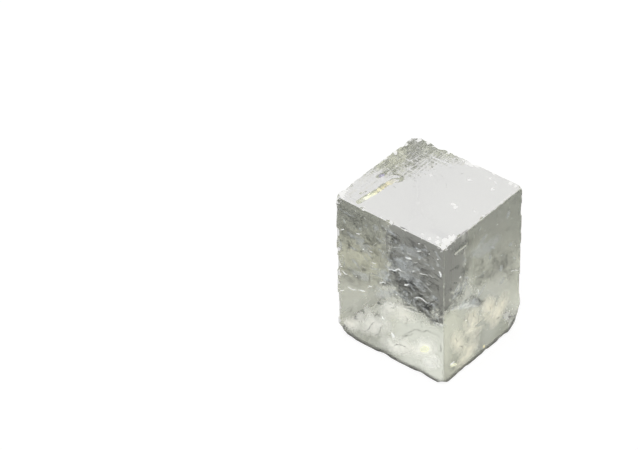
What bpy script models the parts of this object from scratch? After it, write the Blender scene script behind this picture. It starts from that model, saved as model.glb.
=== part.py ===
"""Optical calcite (Iceland spar): one clear cleavage rhomb, standing on a cleavage face.

Metres, +Z up. Calcite splits along three directions only, so the solid is a cube sheared onto the
three cleavage edges, and its breakage follows them too:
  ledges   boxes with cleavage faces, split off an edge or a face
  breaks   corners knocked off across the cleavage
  scoops   rounded, shell-shaped flakes off the edges
  nicks    the small ledges that run along every edge
  laths    the thin splinters off the back of the top
Places are in millimetres along the three edges from the front bottom corner: LEFT and RIGHT lie in
the bottom face, UP leans back. The origin is under the middle of the solid's box.
"""

import math
import random

import bmesh
import bpy
from mathutils import Matrix, Vector

MM = 0.001
NODE = "calcite_rhomb"

# Driving dimensions, in millimetres: the rhomb's three edges, and calcite's obtuse face angle.
LEFT_EDGE = 34.4
RIGHT_EDGE = 31.5
UP_EDGE = 44.0
FACE_ANGLE = math.radians(101.92)
EDGES = (LEFT_EDGE, RIGHT_EDGE, UP_EDGE)

# Worn edges: the ones round the base are blunter than the rest.
BASE_WEAR = 0.6
EDGE_WEAR = 0.2
WEAR_SEGMENTS = 3

# How far a cutter reaches past the crystal's faces.
CLEAR = 1.5
BACK = LEFT_EDGE + CLEAR
FAR = RIGHT_EDGE + CLEAR
TOP = UP_EDGE + CLEAR

# Ledges: the (from, to) of the box that has split off, along LEFT, RIGHT and UP.
LEDGES = {
    "right_face_flake": ((-CLEAR, 0.3), (4.6, 9.4), (39.4, TOP)),
    "left_edge_top_step": ((33.8, BACK), (-CLEAR, 0.5), (37.2, 41.0)),
    "left_edge_upper_step": ((33.9, BACK), (-CLEAR, 0.55), (30.2, 33.4)),
    "left_edge_middle_step": ((33.6, BACK), (-CLEAR, 0.7), (20.4, 24.8)),
    "left_edge_lower_step": ((33.75, BACK), (-CLEAR, 0.6), (5.2, 13.2)),
    "right_edge_upper_step": ((-CLEAR, 0.4), (31.0, FAR), (35.0, 38.2)),
    "right_edge_middle_step": ((-CLEAR, 0.45), (31.05, FAR), (16.4, 26.2)),
    "right_edge_lower_step": ((-CLEAR, 0.6), (30.8, FAR), (11.2, 16.4)),
}

# Breaks: the corner, as 0 or 1 along each edge, and how much of each edge went with it.
BREAKS = {
    "top_front_corner": ((0, 0, 1), (2.3, 5.0, 0.6)),
    "top_left_corner": ((1, 0, 1), (1.6, 1.3, 2.8)),
    "top_right_corner": ((0, 1, 1), (1.1, 1.5, 1.2)),
    "top_back_corner": ((1, 1, 1), (2.4, 1.6, 1.3)),
    "base_front_corner": ((0, 0, 0), (3.4, 3.2, 2.2)),
    "base_left_corner": ((1, 0, 0), (3.6, 3.2, 3.4)),
    "base_right_corner": ((0, 1, 0), (4.4, 3.0, 6.8)),
    "base_right_corner_foot": ((0, 1, 0), (7.0, 5.0, 3.0)),
    "base_back_corner": ((1, 1, 0), (6.2, 5.6, 6.4)),
    "base_back_corner_foot": ((1, 1, 0), (13.0, 8.0, 2.6)),
}

# Scoops: shell-shaped flakes off an edge, as a place on it and the flake's length and depth.
SCOOPS = {
    "base_left_end_scoop": ((31.2, 0.0, 0.0), 5.2, 0.6),
    "base_left_middle_scoop": ((19.4, 0.0, 0.0), 4.4, 0.6),
    "base_left_front_scoop": ((7.2, 0.0, 0.0), 5.8, 0.7),
    "base_right_front_scoop": ((0.0, 7.0, 0.0), 5.4, 0.5),
    "base_right_notch": ((0.0, 17.0, 0.0), 2.6, 0.5),
    "base_right_end_scoop": ((0.0, 23.8, 0.0), 5.2, 0.5),
    "right_edge_notch": ((0.0, RIGHT_EDGE, 10.4), 2.4, 0.6),
    "left_edge_notch": ((LEFT_EDGE, 0.0, 26.4), 2.6, 0.55),
    "top_left_chip": ((16.9, 0.0, UP_EDGE), 2.6, 0.5),
    "top_left_far_chip": ((25.5, 0.0, UP_EDGE), 2.0, 0.4),
    "top_right_notch": ((0.0, 6.3, UP_EDGE), 1.9, 0.5),
    "top_right_chip": ((0.0, 15.4, UP_EDGE), 2.2, 0.4),
    "top_back_right_chip": ((15.8, RIGHT_EDGE, UP_EDGE), 3.4, 0.6),
    "top_back_right_far_chip": ((26.6, RIGHT_EDGE, UP_EDGE), 4.6, 0.7),
    "top_back_left_chip": ((LEFT_EDGE, 4.6, UP_EDGE), 4.2, 0.55),
    "top_back_left_far_chip": ((LEFT_EDGE, 26.6, UP_EDGE), 3.4, 0.6),
    "back_edge_scoop": ((LEFT_EDGE, RIGHT_EDGE, 18.4), 8.6, 1.1),
    "back_edge_upper_scoop": ((LEFT_EDGE, RIGHT_EDGE, 33.0), 7.0, 0.8),
    "back_left_base_scoop": ((LEFT_EDGE, 14.2, 0.0), 11.0, 1.1),
    "back_left_second_base_scoop": ((LEFT_EDGE, 5.2, 0.0), 6.4, 0.8),
    "back_right_base_scoop": ((17.0, RIGHT_EDGE, 0.0), 12.0, 1.2),
    "back_right_second_base_scoop": ((7.6, RIGHT_EDGE, 0.0), 6.0, 0.8),
}
SCOOP_SEGMENTS = 24
SCOOP_RINGS = 16

# Nicks: small ledges along each edge, none near its corners.
NICK_MARGIN = 2.2
NICK_GAP = (0.6, 4.6)
NICK_LENGTH = (0.4, 2.4)
NICK_DEPTH = (0.08, 0.45)
NICK_SEED = 12

# Laths: the shallow splinters split off the top, from the back corner down to this line.
LATH_LINE = ((28.0, 2.0), (26.6, 9.9), (22.1, 22.1), (15.6, 29.9))
LATH_COUNT = 34
LATH_LENGTH = (2.0, 8.5)
LATH_WIDTH = (0.3, 1.1)
LATH_DEPTH = (0.08, 0.3)
LATH_SEED = 5

CLEAR_GREY_WHITE = (0.93, 0.94, 0.90, 1.0)


def lattice():
    """The matrix from millimetres along LEFT, RIGHT and UP to metres, from the front bottom corner."""
    half = FACE_ANGLE / 2
    lean = -math.cos(FACE_ANGLE) / math.cos(half)
    left = Vector((-math.sin(half), math.cos(half), 0.0))
    right = Vector((math.sin(half), math.cos(half), 0.0))
    up = Vector((0.0, lean, math.sqrt(1.0 - lean * lean)))
    return Matrix((left * MM, right * MM, up * MM)).transposed().to_4x4()


def new_object(name, mesh, collection):
    made = bpy.data.objects.new(name, mesh)
    collection.objects.link(made)
    return made


def box_mesh(name, spans):
    """A box with cleavage faces, over a (from, to) of millimetres along each edge."""
    middle = Vector([(low + high) / 2 for low, high in spans])
    sides = Vector([high - low for low, high in spans])
    bm = bmesh.new()
    bmesh.ops.create_cube(bm, size=1.0)
    bmesh.ops.scale(bm, vec=sides, verts=bm.verts)
    bmesh.ops.translate(bm, vec=middle, verts=bm.verts)
    bmesh.ops.transform(bm, matrix=lattice(), verts=bm.verts)
    bmesh.ops.recalc_face_normals(bm, faces=bm.faces)
    mesh = bpy.data.meshes.new(name)
    bm.to_mesh(mesh)
    bm.free()
    return mesh


def clear_mineral():
    material = bpy.data.materials.new("clear_calcite")
    material.use_nodes = True
    shader = material.node_tree.nodes["Principled BSDF"]
    shader.inputs["Base Color"].default_value = CLEAR_GREY_WHITE
    shader.inputs["Roughness"].default_value = 0.05
    shader.inputs["Transmission Weight"].default_value = 1.0
    shader.inputs["IOR"].default_value = 1.62
    return material


def worn_rhomb(collection):
    """The whole rhomb, with its edges worn: bevel weights make the base's edges the bluntest."""
    mesh = box_mesh(NODE, [(0.0, edge) for edge in EDGES])
    mesh.materials.append(clear_mineral())
    weights = mesh.attributes.new("bevel_weight_edge", "FLOAT", "EDGE")
    for edge in mesh.edges:
        at_base = all(mesh.vertices[i].co.z < 0.1 * MM for i in edge.vertices)
        weights.data[edge.index].value = 1.0 if at_base else EDGE_WEAR / BASE_WEAR
    rhomb = new_object(NODE, mesh, collection)
    wear = rhomb.modifiers.new("worn_edges", "BEVEL")
    wear.limit_method = "WEIGHT"
    wear.width = BASE_WEAR * MM
    wear.segments = WEAR_SEGMENTS
    return rhomb


def ledge_cutter(name, spans, collection):
    return new_object(name, box_mesh(name, spans), collection)


def break_cutter(name, corner, lengths, collection):
    """A block whose one face passes through the three points where the break meets the edges."""
    grid = lattice()
    ends = []
    for axis in range(3):
        at = [edge * end for edge, end in zip(EDGES, corner)]
        at[axis] += lengths[axis] * (1 - 2 * corner[axis])
        ends.append(grid @ Vector(at))
    tip = grid @ Vector([edge * end for edge, end in zip(EDGES, corner)])
    outward = (ends[1] - ends[0]).cross(ends[2] - ends[0]).normalized()
    if outward.dot(tip - ends[0]) < 0:
        outward.negate()
    size = 4 * max(lengths) * MM
    bm = bmesh.new()
    bmesh.ops.create_cube(bm, size=size)
    bmesh.ops.translate(bm, vec=(0, 0, size / 2), verts=bm.verts)
    mesh = bpy.data.meshes.new(name)
    bm.to_mesh(mesh)
    bm.free()
    cutter = new_object(name, mesh, collection)
    cutter.rotation_mode = "QUATERNION"
    cutter.rotation_quaternion = outward.to_track_quat("Z", "Y")
    cutter.location = sum(ends, Vector()) / 3
    return cutter


def face_normal(axis):
    """The unit normal of the two faces across this axis, towards its far end."""
    return lattice().inverted().row[axis].xyz.normalized()


def scoop_cutter(name, place, length, depth, collection):
    """A ball that bites a flake of this length and depth out of the edge that the place is on."""
    outward = Vector()
    for axis, at in enumerate(place):
        side = (at == EDGES[axis]) - (at == 0.0)
        outward += side * face_normal(axis)
    radius = (length * length / 4 + depth * depth) / (2 * depth)
    bm = bmesh.new()
    bmesh.ops.create_uvsphere(
        bm, u_segments=SCOOP_SEGMENTS, v_segments=SCOOP_RINGS, radius=radius * MM
    )
    mesh = bpy.data.meshes.new(name)
    bm.to_mesh(mesh)
    bm.free()
    cutter = new_object(name, mesh, collection)
    cutter.location = lattice() @ Vector(place) + outward.normalized() * (radius - depth) * MM
    return cutter


def nicks():
    """Small boxes along the twelve edges, each of a random depth into both faces of its edge."""
    draw = random.Random(NICK_SEED)
    found = {}
    for axis in range(3):
        across = [other for other in range(3) if other != axis]
        for ends in ((0, 0), (0, 1), (1, 0), (1, 1)):
            start = NICK_MARGIN + draw.uniform(*NICK_GAP)
            while start < EDGES[axis] - NICK_MARGIN:
                spans = [None, None, None]
                spans[axis] = (start, start + draw.uniform(*NICK_LENGTH))
                for other, end in zip(across, ends):
                    depth = NICK_DEPTH[0] + (NICK_DEPTH[1] - NICK_DEPTH[0]) * draw.random() ** 2
                    if end:
                        spans[other] = (EDGES[other] - depth, EDGES[other] + CLEAR)
                    else:
                        spans[other] = (-CLEAR, depth)
                found[f"nick_{len(found)}"] = spans
                start = spans[axis][1] + draw.uniform(*NICK_GAP)
    return found


def line_at(right):
    """How far along LEFT the splintered part of the top starts, at a place along RIGHT."""
    for (left_a, right_a), (left_b, right_b) in zip(LATH_LINE, LATH_LINE[1:]):
        if right < right_b:
            share = max(0.0, (right - right_a) / (right_b - right_a))
            return left_a + (left_b - left_a) * share
    return LATH_LINE[-1][0]


def laths():
    """Thin boxes off the top, along LEFT or RIGHT, that start between the line and the far edges."""
    draw = random.Random(LATH_SEED)
    found = {}
    while len(found) < LATH_COUNT:
        left = draw.uniform(LATH_LINE[-1][0], LEFT_EDGE)
        right = draw.uniform(0.0, RIGHT_EDGE)
        length = draw.uniform(*LATH_LENGTH)
        width = draw.uniform(*LATH_WIDTH)
        depth = draw.uniform(*LATH_DEPTH)
        along_right = draw.random() < 0.7
        if left < line_at(right):
            continue
        far_left = left + (width if along_right else length)
        far_right = right + (length if along_right else width)
        found[f"lath_{len(found)}"] = (
            (left, min(far_left, BACK)),
            (right, min(far_right, FAR)),
            (UP_EDGE - depth, TOP),
        )
    return found


def cut_away(rhomb, cutters):
    for cutter in cutters.objects:
        cutter.hide_render = True
        cutter.display_type = "WIRE"
    cut = rhomb.modifiers.new("breakage", "BOOLEAN")
    cut.operation = "DIFFERENCE"
    cut.operand_type = "COLLECTION"
    cut.collection = cutters
    cut.solver = "EXACT"


def centre_on_base(rhomb, cutters):
    """Moves the rhomb and its cutters so that the origin is under the middle of the cut solid's box."""
    bpy.context.view_layer.update()
    cut = rhomb.evaluated_get(bpy.context.evaluated_depsgraph_get())
    corners = [Vector(corner) for corner in cut.bound_box]
    low = Vector([min(corner[i] for corner in corners) for i in range(3)])
    high = Vector([max(corner[i] for corner in corners) for i in range(3)])
    shift = Vector((-(low.x + high.x) / 2, -(low.y + high.y) / 2, -low.z))
    for made in (rhomb, *cutters.objects):
        made.location += shift


def main():
    for old in list(bpy.data.objects):
        bpy.data.objects.remove(old)
    crystal = bpy.data.collections.new("optical_calcite")
    cutters = bpy.data.collections.new("cutters")
    for collection in (crystal, cutters):
        bpy.context.scene.collection.children.link(collection)

    rhomb = worn_rhomb(crystal)
    for name, spans in {**LEDGES, **nicks(), **laths()}.items():
        ledge_cutter(name, spans, cutters)
    for name, (corner, lengths) in BREAKS.items():
        break_cutter(name, corner, lengths, cutters)
    for name, (place, length, depth) in SCOOPS.items():
        scoop_cutter(name, place, length, depth, cutters)
    cut_away(rhomb, cutters)
    centre_on_base(rhomb, cutters)


main()
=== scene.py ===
"""Optical calcite: the finish of one clear cleavage rhomb, laid out as a Blender add-on.

The crystal is one closed surface. It is the worn rhomb seen from its own middle: along every ray from
there, the surface lies where the ray first meets a worn edge, a ledge, a break, a scoop or a nick.
Inside it lie thin sheets: its part-opened cleavage cracks, which catch the light or turn it away.
Places are in millimetres along the rhomb's three edges, LEFT, RIGHT and UP, from its front bottom
corner. On one face they are two numbers: LEFT and UP on the left face, RIGHT and UP on the right
face, LEFT and RIGHT on the top.
"""

import math
import random

import bpy
import numpy as np
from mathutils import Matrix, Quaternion, Vector


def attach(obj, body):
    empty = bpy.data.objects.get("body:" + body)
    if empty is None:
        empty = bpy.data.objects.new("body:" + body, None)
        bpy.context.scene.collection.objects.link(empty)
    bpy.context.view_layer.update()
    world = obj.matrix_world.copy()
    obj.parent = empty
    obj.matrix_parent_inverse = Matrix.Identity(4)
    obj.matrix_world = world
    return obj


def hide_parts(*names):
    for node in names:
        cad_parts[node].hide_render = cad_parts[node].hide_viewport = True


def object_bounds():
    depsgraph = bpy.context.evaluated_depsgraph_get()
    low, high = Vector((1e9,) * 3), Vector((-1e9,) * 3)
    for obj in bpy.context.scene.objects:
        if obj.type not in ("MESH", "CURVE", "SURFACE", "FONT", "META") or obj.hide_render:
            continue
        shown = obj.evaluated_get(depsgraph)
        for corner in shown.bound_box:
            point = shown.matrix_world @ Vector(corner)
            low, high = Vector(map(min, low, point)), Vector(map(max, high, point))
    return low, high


bl_info = {
    "name": "Optical calcite rhomb",
    "version": (1, 0, 0),
    "blender": (4, 5, 0),
    "location": "View3D > Sidebar > Calcite",
    "description": "Builds a clear calcite cleavage rhomb with its cracks, chips and stage",
    "category": "Add Mesh",
}

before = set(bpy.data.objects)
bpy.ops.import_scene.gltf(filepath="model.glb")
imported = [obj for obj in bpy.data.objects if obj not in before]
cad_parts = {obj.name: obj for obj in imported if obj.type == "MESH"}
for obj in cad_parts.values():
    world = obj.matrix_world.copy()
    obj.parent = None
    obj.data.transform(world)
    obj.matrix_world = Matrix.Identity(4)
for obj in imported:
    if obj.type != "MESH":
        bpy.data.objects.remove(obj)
CAD_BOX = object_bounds()

MM = 0.001
NODE = "calcite_rhomb"
BODY = "root"
WHITE = (1.0, 1.0, 1.0, 1.0)

# The rhomb's three edges in millimetres, and calcite's obtuse face angle.
LEFT_EDGE = 34.4
RIGHT_EDGE = 31.5
UP_EDGE = 44.0
EDGES = (LEFT_EDGE, RIGHT_EDGE, UP_EDGE)
FACE_ANGLE = math.radians(101.92)

# How far a cutting box reaches past the crystal's faces, and where that is on each far side.
CLEAR = 1.5
BACK = LEFT_EDGE + CLEAR
FAR = RIGHT_EDGE + CLEAR
TOP = UP_EDGE + CLEAR

# Ledges: the (from, to) of the box that has split off, along LEFT, RIGHT and UP.
LEDGES = (
    ((-CLEAR, 0.3), (4.6, 9.4), (39.4, TOP)),
    ((33.8, BACK), (-CLEAR, 0.5), (37.2, 41.0)),
    ((33.9, BACK), (-CLEAR, 0.55), (30.2, 33.4)),
    ((33.6, BACK), (-CLEAR, 0.7), (20.4, 24.8)),
    ((33.75, BACK), (-CLEAR, 0.6), (5.2, 13.2)),
    ((-CLEAR, 0.4), (31.0, FAR), (35.0, 38.2)),
    ((-CLEAR, 0.45), (31.05, FAR), (16.4, 26.2)),
    ((-CLEAR, 0.6), (30.8, FAR), (11.2, 16.4)),
)

# Breaks: the corner, as 0 or 1 along each edge, and how much of each edge went with it.
BREAKS = (
    ((0, 0, 1), (2.3, 5.0, 0.6)),
    ((1, 0, 1), (1.6, 1.3, 2.8)),
    ((0, 1, 1), (1.1, 1.5, 1.2)),
    ((1, 1, 1), (2.4, 1.6, 1.3)),
    ((0, 0, 0), (2.4, 2.2, 1.4)),
    ((1, 0, 0), (3.6, 3.2, 3.4)),
    ((0, 1, 0), (4.4, 3.0, 6.8)),
    ((0, 1, 0), (7.0, 5.0, 3.0)),
    ((1, 1, 0), (6.2, 5.6, 6.4)),
    ((1, 1, 0), (13.0, 8.0, 2.6)),
)

# Scoops: shell-shaped flakes off an edge, as a place on it and the flake's length and depth.
SCOOPS = (
    ((31.2, 0.0, 0.0), 5.2, 0.6),
    ((19.4, 0.0, 0.0), 4.4, 0.6),
    ((7.2, 0.0, 0.0), 5.8, 0.5),
    ((0.0, 7.0, 0.0), 5.4, 0.3),
    ((0.0, 17.0, 0.0), 2.6, 0.5),
    ((0.0, 23.8, 0.0), 5.2, 0.5),
    ((0.0, RIGHT_EDGE, 10.4), 2.4, 0.6),
    ((LEFT_EDGE, 0.0, 26.4), 2.6, 0.55),
    ((16.9, 0.0, UP_EDGE), 2.6, 0.5),
    ((25.5, 0.0, UP_EDGE), 2.0, 0.4),
    ((0.0, 6.3, UP_EDGE), 1.9, 0.5),
    ((0.0, 15.4, UP_EDGE), 2.2, 0.4),
    ((15.8, RIGHT_EDGE, UP_EDGE), 3.4, 0.6),
    ((26.6, RIGHT_EDGE, UP_EDGE), 4.6, 0.7),
    ((LEFT_EDGE, 4.6, UP_EDGE), 4.2, 0.55),
    ((LEFT_EDGE, 26.6, UP_EDGE), 3.4, 0.6),
    ((LEFT_EDGE, RIGHT_EDGE, 18.4), 8.6, 1.1),
    ((LEFT_EDGE, RIGHT_EDGE, 33.0), 7.0, 0.8),
    ((LEFT_EDGE, 14.2, 0.0), 11.0, 1.1),
    ((LEFT_EDGE, 5.2, 0.0), 6.4, 0.8),
    ((17.0, RIGHT_EDGE, 0.0), 12.0, 1.2),
    ((7.6, RIGHT_EDGE, 0.0), 6.0, 0.8),
)

# Nicks: small ledges along each edge, none near its corners.
NICK_MARGIN = 2.2
NICK_GAP = (0.6, 4.6)
NICK_LENGTH = (0.4, 2.4)
NICK_DEPTH = (0.08, 0.45)
NICK_SEED = 12

# Laths: the shallow splinters split off the top, from the back corner down to this line.
LATH_LINE = ((28.0, 2.0), (26.6, 9.9), (22.1, 22.1), (15.6, 29.9))
LATHS = {"count": 34, "length": (2.0, 8.5), "width": (0.3, 1.1), "depth": (0.08, 0.3), "seed": 5}
SLIVERS = {"count": 260, "length": (0.8, 4.5), "width": (0.14, 0.5), "depth": (0.03, 0.14), "seed": 21}

# The surface's own grid: cells along each edge, and how much closer they lie near the edges.
CELLS = (146, 134, 104)
CROWDING = (0.62, 0.62, 0.35)

# Wear, as the power of a rounded cube: a high power is a sharp edge.
BASE_POWER = 140.0
BLUNT_POWER = 60.0
EDGE_POWER = 150.0

# Where the base's edge is worn bluntest: a place on it, how far that reaches, and by what share.
BLUNT_PLACES = (
    ((31.4, 0.0, 0.0), 3.6, 1.0),
    ((18.8, 0.0, 0.0), 2.9, 0.9),
    ((7.6, 0.0, 0.0), 4.2, 0.8),
    ((0.0, 9.0, 0.0), 3.2, 0.3),
    ((0.0, 18.6, 0.0), 2.2, 0.14),
    ((0.0, 25.6, 0.0), 3.0, 0.18),
)

# How deep the splinters' furrows are, and the swell of the left and right faces, as its height, its
# size and its seed, all in millimetres. Then how far the hidden faces sink, as a share.
FURROW = 0.05
LEFT_SWELL = (0.012, 3.4, 11)
RIGHT_SWELL = (0.006, 4.5, 12)
HIDDEN_SINK = 0.0006

# A break's roughness, as shares: coarse and fine.
BREAK_ROUGHNESS = (0.0016, 0.0007)

# Faces whose points meet at a lower angle than this are shaded as one.
SHARP = math.radians(24.0)

# A surface this much nearer than the worn rhomb's, as a share, has been cut.
CUT_SHARE = 2e-4

# A place on the unit cube past this lies on its far face, and a length under this counts as none.
FAR_FACE = 0.999
TINY = 1e-6

# The unsplintered part of the top ends along this line, as (LEFT, RIGHT).
FILM_LINE = (
    (34.2, 3.8),
    (33.0, 9.0),
    (31.2, 12.2),
    (27.0, 15.0),
    (22.6, 16.5),
    (22.0, 22.5),
    (21.4, 25.6),
    (18.5, 28.0),
    (15.6, 30.5),
)

# Crushed, snow-white spots on the surface, and painted glints in the top face: a place and a size.
BRUISES_AND_GLINTS = (
    ((0.9, 0.9, UP_EDGE), 1.3),
    ((1.2, 2.6, UP_EDGE), 1.5),
    ((1.0, 4.4, UP_EDGE), 1.2),
    ((2.9, 1.2, UP_EDGE), 0.8),
    ((4.0, 2.6, UP_EDGE), 0.5),
    ((5.2, 0.9, UP_EDGE), 0.55),
    ((7.8, 1.3, UP_EDGE), 0.35),
    ((16.9, 0.2, UP_EDGE), 0.75),
    ((25.5, 0.1, UP_EDGE), 0.5),
    ((33.4, 1.2, UP_EDGE), 1.15),
    ((33.8, 2.9, UP_EDGE), 0.75),
    ((34.0, 0.1, 42.0), 0.7),
    ((34.0, 19.5, UP_EDGE), 0.55),
    ((33.9, 23.0, UP_EDGE), 0.75),
    ((33.6, 27.0, UP_EDGE), 0.6),
    ((32.4, 30.7, UP_EDGE), 0.8),
    ((29.8, 31.1, UP_EDGE), 0.75),
    ((27.4, 31.2, UP_EDGE), 0.65),
    ((23.2, 31.0, UP_EDGE), 0.5),
    ((17.2, 30.8, UP_EDGE), 0.75),
    ((15.6, 30.8, UP_EDGE), 0.95),
    ((13.9, 31.1, UP_EDGE), 0.7),
    ((8.9, 31.2, UP_EDGE), 0.45),
    ((3.1, 30.7, UP_EDGE), 0.65),
    ((1.5, 30.7, UP_EDGE), 0.6),
    ((0.3, 16.2, UP_EDGE), 0.4),
    # Painted glints: white spots in the top face, off its edges, where its splinters catch the light.
    ((9.0, 15.2, UP_EDGE), 0.6),
    ((7.9, 14.7, UP_EDGE), 0.65),
    ((5.2, 26.0, UP_EDGE), 0.6),
    ((12.1, 25.4, UP_EDGE), 0.5),
    ((8.4, 29.1, UP_EDGE), 0.4),
    ((3.1, 16.2, UP_EDGE), 0.35),
    ((6.4, 28.6, UP_EDGE), 0.3),
    ((21.0, 21.0, UP_EDGE), 0.35),
    ((LEFT_EDGE, 17.6, 0.0), 2.6),
    ((LEFT_EDGE, 12.4, 0.0), 2.2),
    ((LEFT_EDGE, 5.4, 0.0), 2.0),
    ((7.6, RIGHT_EDGE, 0.0), 2.0),
    ((14.0, RIGHT_EDGE, 0.0), 2.4),
    ((20.0, RIGHT_EDGE, 0.0), 2.8),
    ((33.4, 30.4, 1.4), 4.6),
)

# How wide the crushed line is along the top's edges and along each upright edge (LEFT end, RIGHT end).
TOP_LINE = 0.1
UPRIGHT_LINES = {(1, 0): 0.75, (0, 1): 0.3, (1, 1): 0.4}

# How high the painted shade on the worn base reaches: along its whole edge, and where it is bluntest.
BASE_SHADE_HEIGHTS = (0.06, 3.4)

# How rough the hidden faces are, how much rougher they get at their edges, over what distance, and
# the base's share of both.
FROST = 0.24
EDGE_FROST = 0.26
FROST_REACH = 6.0
BASE_FROST = 0.12

# Flaws: a face, a path on it, how deep it lies, how wide it is, and how far it dips in, in degrees.
# Bright ones catch the light; their glow is painted light.
BRIGHT_FLAWS = (
    ("left", ((33.0, 34.4), (32.2, 34.3), (31.2, 34.7)), 0.4, 0.43, 50),
    ("left", ((28.0, 35.2), (27.1, 35.4), (26.0, 36.0)), 0.5, 0.43, 50),
    ("left", ((8.8, 39.0), (8.0, 39.3), (6.6, 39.8)), 0.6, 0.5, 45),
    ("left", ((12.3, 35.4), (11.0, 35.5), (9.6, 36.1)), 0.6, 0.68, 45),
    (
        "left",
        ((18.0, 28.6), (16.8, 29.3), (15.6, 29.4), (14.4, 30.5), (13.2, 30.4), (11.9, 30.9)),
        0.5,
        0.56,
        40,
    ),
    ("left", ((9.8, 32.0), (9.2, 32.3)), 0.4, 0.37, 30),
    ("left", ((25.9, 31.1), (25.2, 31.4)), 0.4, 0.43, 30),
    ("left", ((23.5, 31.6), (22.7, 31.9)), 0.4, 0.43, 30),
    ("left", ((23.1, 28.5), (22.2, 28.5), (21.5, 28.8)), 0.5, 0.37, 50),
    ("left", ((8.2, 41.7), (7.4, 42.0)), 0.4, 0.37, 30),
    ("left", ((4.8, 40.1), (4.2, 40.4)), 0.4, 0.37, 30),
    ("left", ((2.2, 39.7), (1.6, 40.0)), 0.4, 0.37, 30),
    ("left", ((33.6, 21.8), (32.9, 22.3)), 0.4, 0.43, 30),
    ("left", ((33.0, 21.0), (31.8, 20.5), (30.4, 20.5)), 0.6, 0.37, 50),
    ("left", ((28.2, 21.1), (27.6, 21.5)), 0.4, 0.43, 30),
    ("left", ((20.6, 22.7), (19.6, 23.6), (18.3, 24.1)), 0.6, 0.62, 40),
    ("left", ((12.8, 26.0), (11.8, 26.6), (10.7, 27.3)), 0.5, 0.68, 35),
    ("left", ((31.2, 16.4), (29.6, 16.5), (27.6, 17.0)), 0.6, 0.56, 55),
    ("left", ((27.4, 17.5), (26.2, 17.6), (24.9, 18.2)), 0.6, 0.62, 45),
    ("left", ((24.6, 19.6), (23.5, 20.4), (22.4, 20.9)), 0.6, 0.56, 50),
    ("left", ((33.6, 13.9), (32.8, 14.3), (31.8, 15.0)), 0.5, 0.5, 45),
    ("left", ((10.1, 23.2), (8.6, 24.4), (6.9, 24.8), (5.8, 24.4), (4.7, 24.2)), 0.5, 0.43, 45),
    ("left", ((15.3, 21.8), (14.6, 22.3)), 0.4, 0.43, 30),
    ("left", ((1.7, 36.6), (1.0, 35.6), (0.9, 34.2)), 0.3, 0.56, 15),
    ("left", ((8.1, 32.5), (6.6, 32.8), (4.8, 33.4)), 0.6, 0.37, 50),
    ("left", ((20.0, 12.8), (19.4, 12.1), (18.9, 11.9)), 0.8, 0.56, 30),
    ("left", ((17.0, 9.2), (16.4, 8.2), (15.8, 7.6)), 0.9, 0.81, 30),
    ("right", ((13.7, 22.9), (13.9, 21.6), (14.1, 20.4)), 0.8, 0.31, 20),
    ("right", ((6.3, 30.6), (7.0, 31.2)), 0.5, 0.43, 30),
    ("right", ((26.8, 20.1), (28.8, 18.9), (30.8, 17.5)), 0.3, 0.31, 50),
    ("right", ((12.5, 27.2), (13.2, 27.0)), 0.4, 0.25, 30),
    ("right", ((8.7, 15.7), (9.4, 15.2)), 0.5, 0.37, 30),
    ("right", ((2.6, 5.6), (3.4, 5.0), (4.6, 5.2)), 0.8, 0.74, 30),
)

# Dark ones turn the light away; their dark colour is painted shade.
DARK_FLAWS = (
    ("left", ((23.7, 25.0), (23.6, 22.6), (23.6, 20.5)), 0.6, 0.34, 5),
    ("left", ((20.9, 28.9), (20.9, 27.0), (20.9, 24.9)), 0.6, 0.3, 5),
    ("left", ((16.6, 34.7), (15.9, 34.4)), 0.6, 0.7, 10),
    ("left", ((17.0, 28.6), (15.4, 29.0), (14.0, 29.9)), 0.9, 0.9, 25),
    ("left", ((4.7, 24.1), (3.0, 25.9), (1.3, 27.9)), 0.4, 0.35, 20),
    ("left", ((6.0, 23.0), (4.4, 24.6), (2.8, 26.2)), 0.6, 0.4, 20),
    ("left", ((3.6, 21.6), (2.4, 22.6), (1.0, 24.4)), 0.5, 0.4, 20),
    ("right", ((7.4, 28.0), (6.4, 26.6), (5.4, 25.2)), 0.9, 0.4, 20),
    ("right", ((8.2, 27.0), (7.2, 25.8), (6.0, 24.4)), 0.9, 0.4, 20),
    ("right", ((5.3, 19.3), (5.9, 18.7)), 0.4, 0.5, 20),
    ("right", ((8.0, 16.2), (8.6, 15.7)), 0.4, 0.6, 20),
    ("right", ((21.6, 7.9), (22.8, 7.3)), 0.4, 0.5, 20),
    ("right", ((13.9, 20.0), (14.6, 18.2), (17.0, 16.4)), 0.8, 0.8, 20),
    ("top", ((26.4, 12.4), (25.2, 11.9), (24.5, 11.4)), 0.2, 0.7, 10),
    ("top", ((30.1, 9.0), (30.3, 11.4)), 0.2, 0.4, 10),
    ("top", ((22.3, 14.8), (21.0, 15.2), (19.6, 15.7)), 0.2, 0.4, 10),
    ("top", ((29.0, 15.7), (27.4, 16.0), (25.6, 16.3)), 0.2, 0.6, 10),
)
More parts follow.
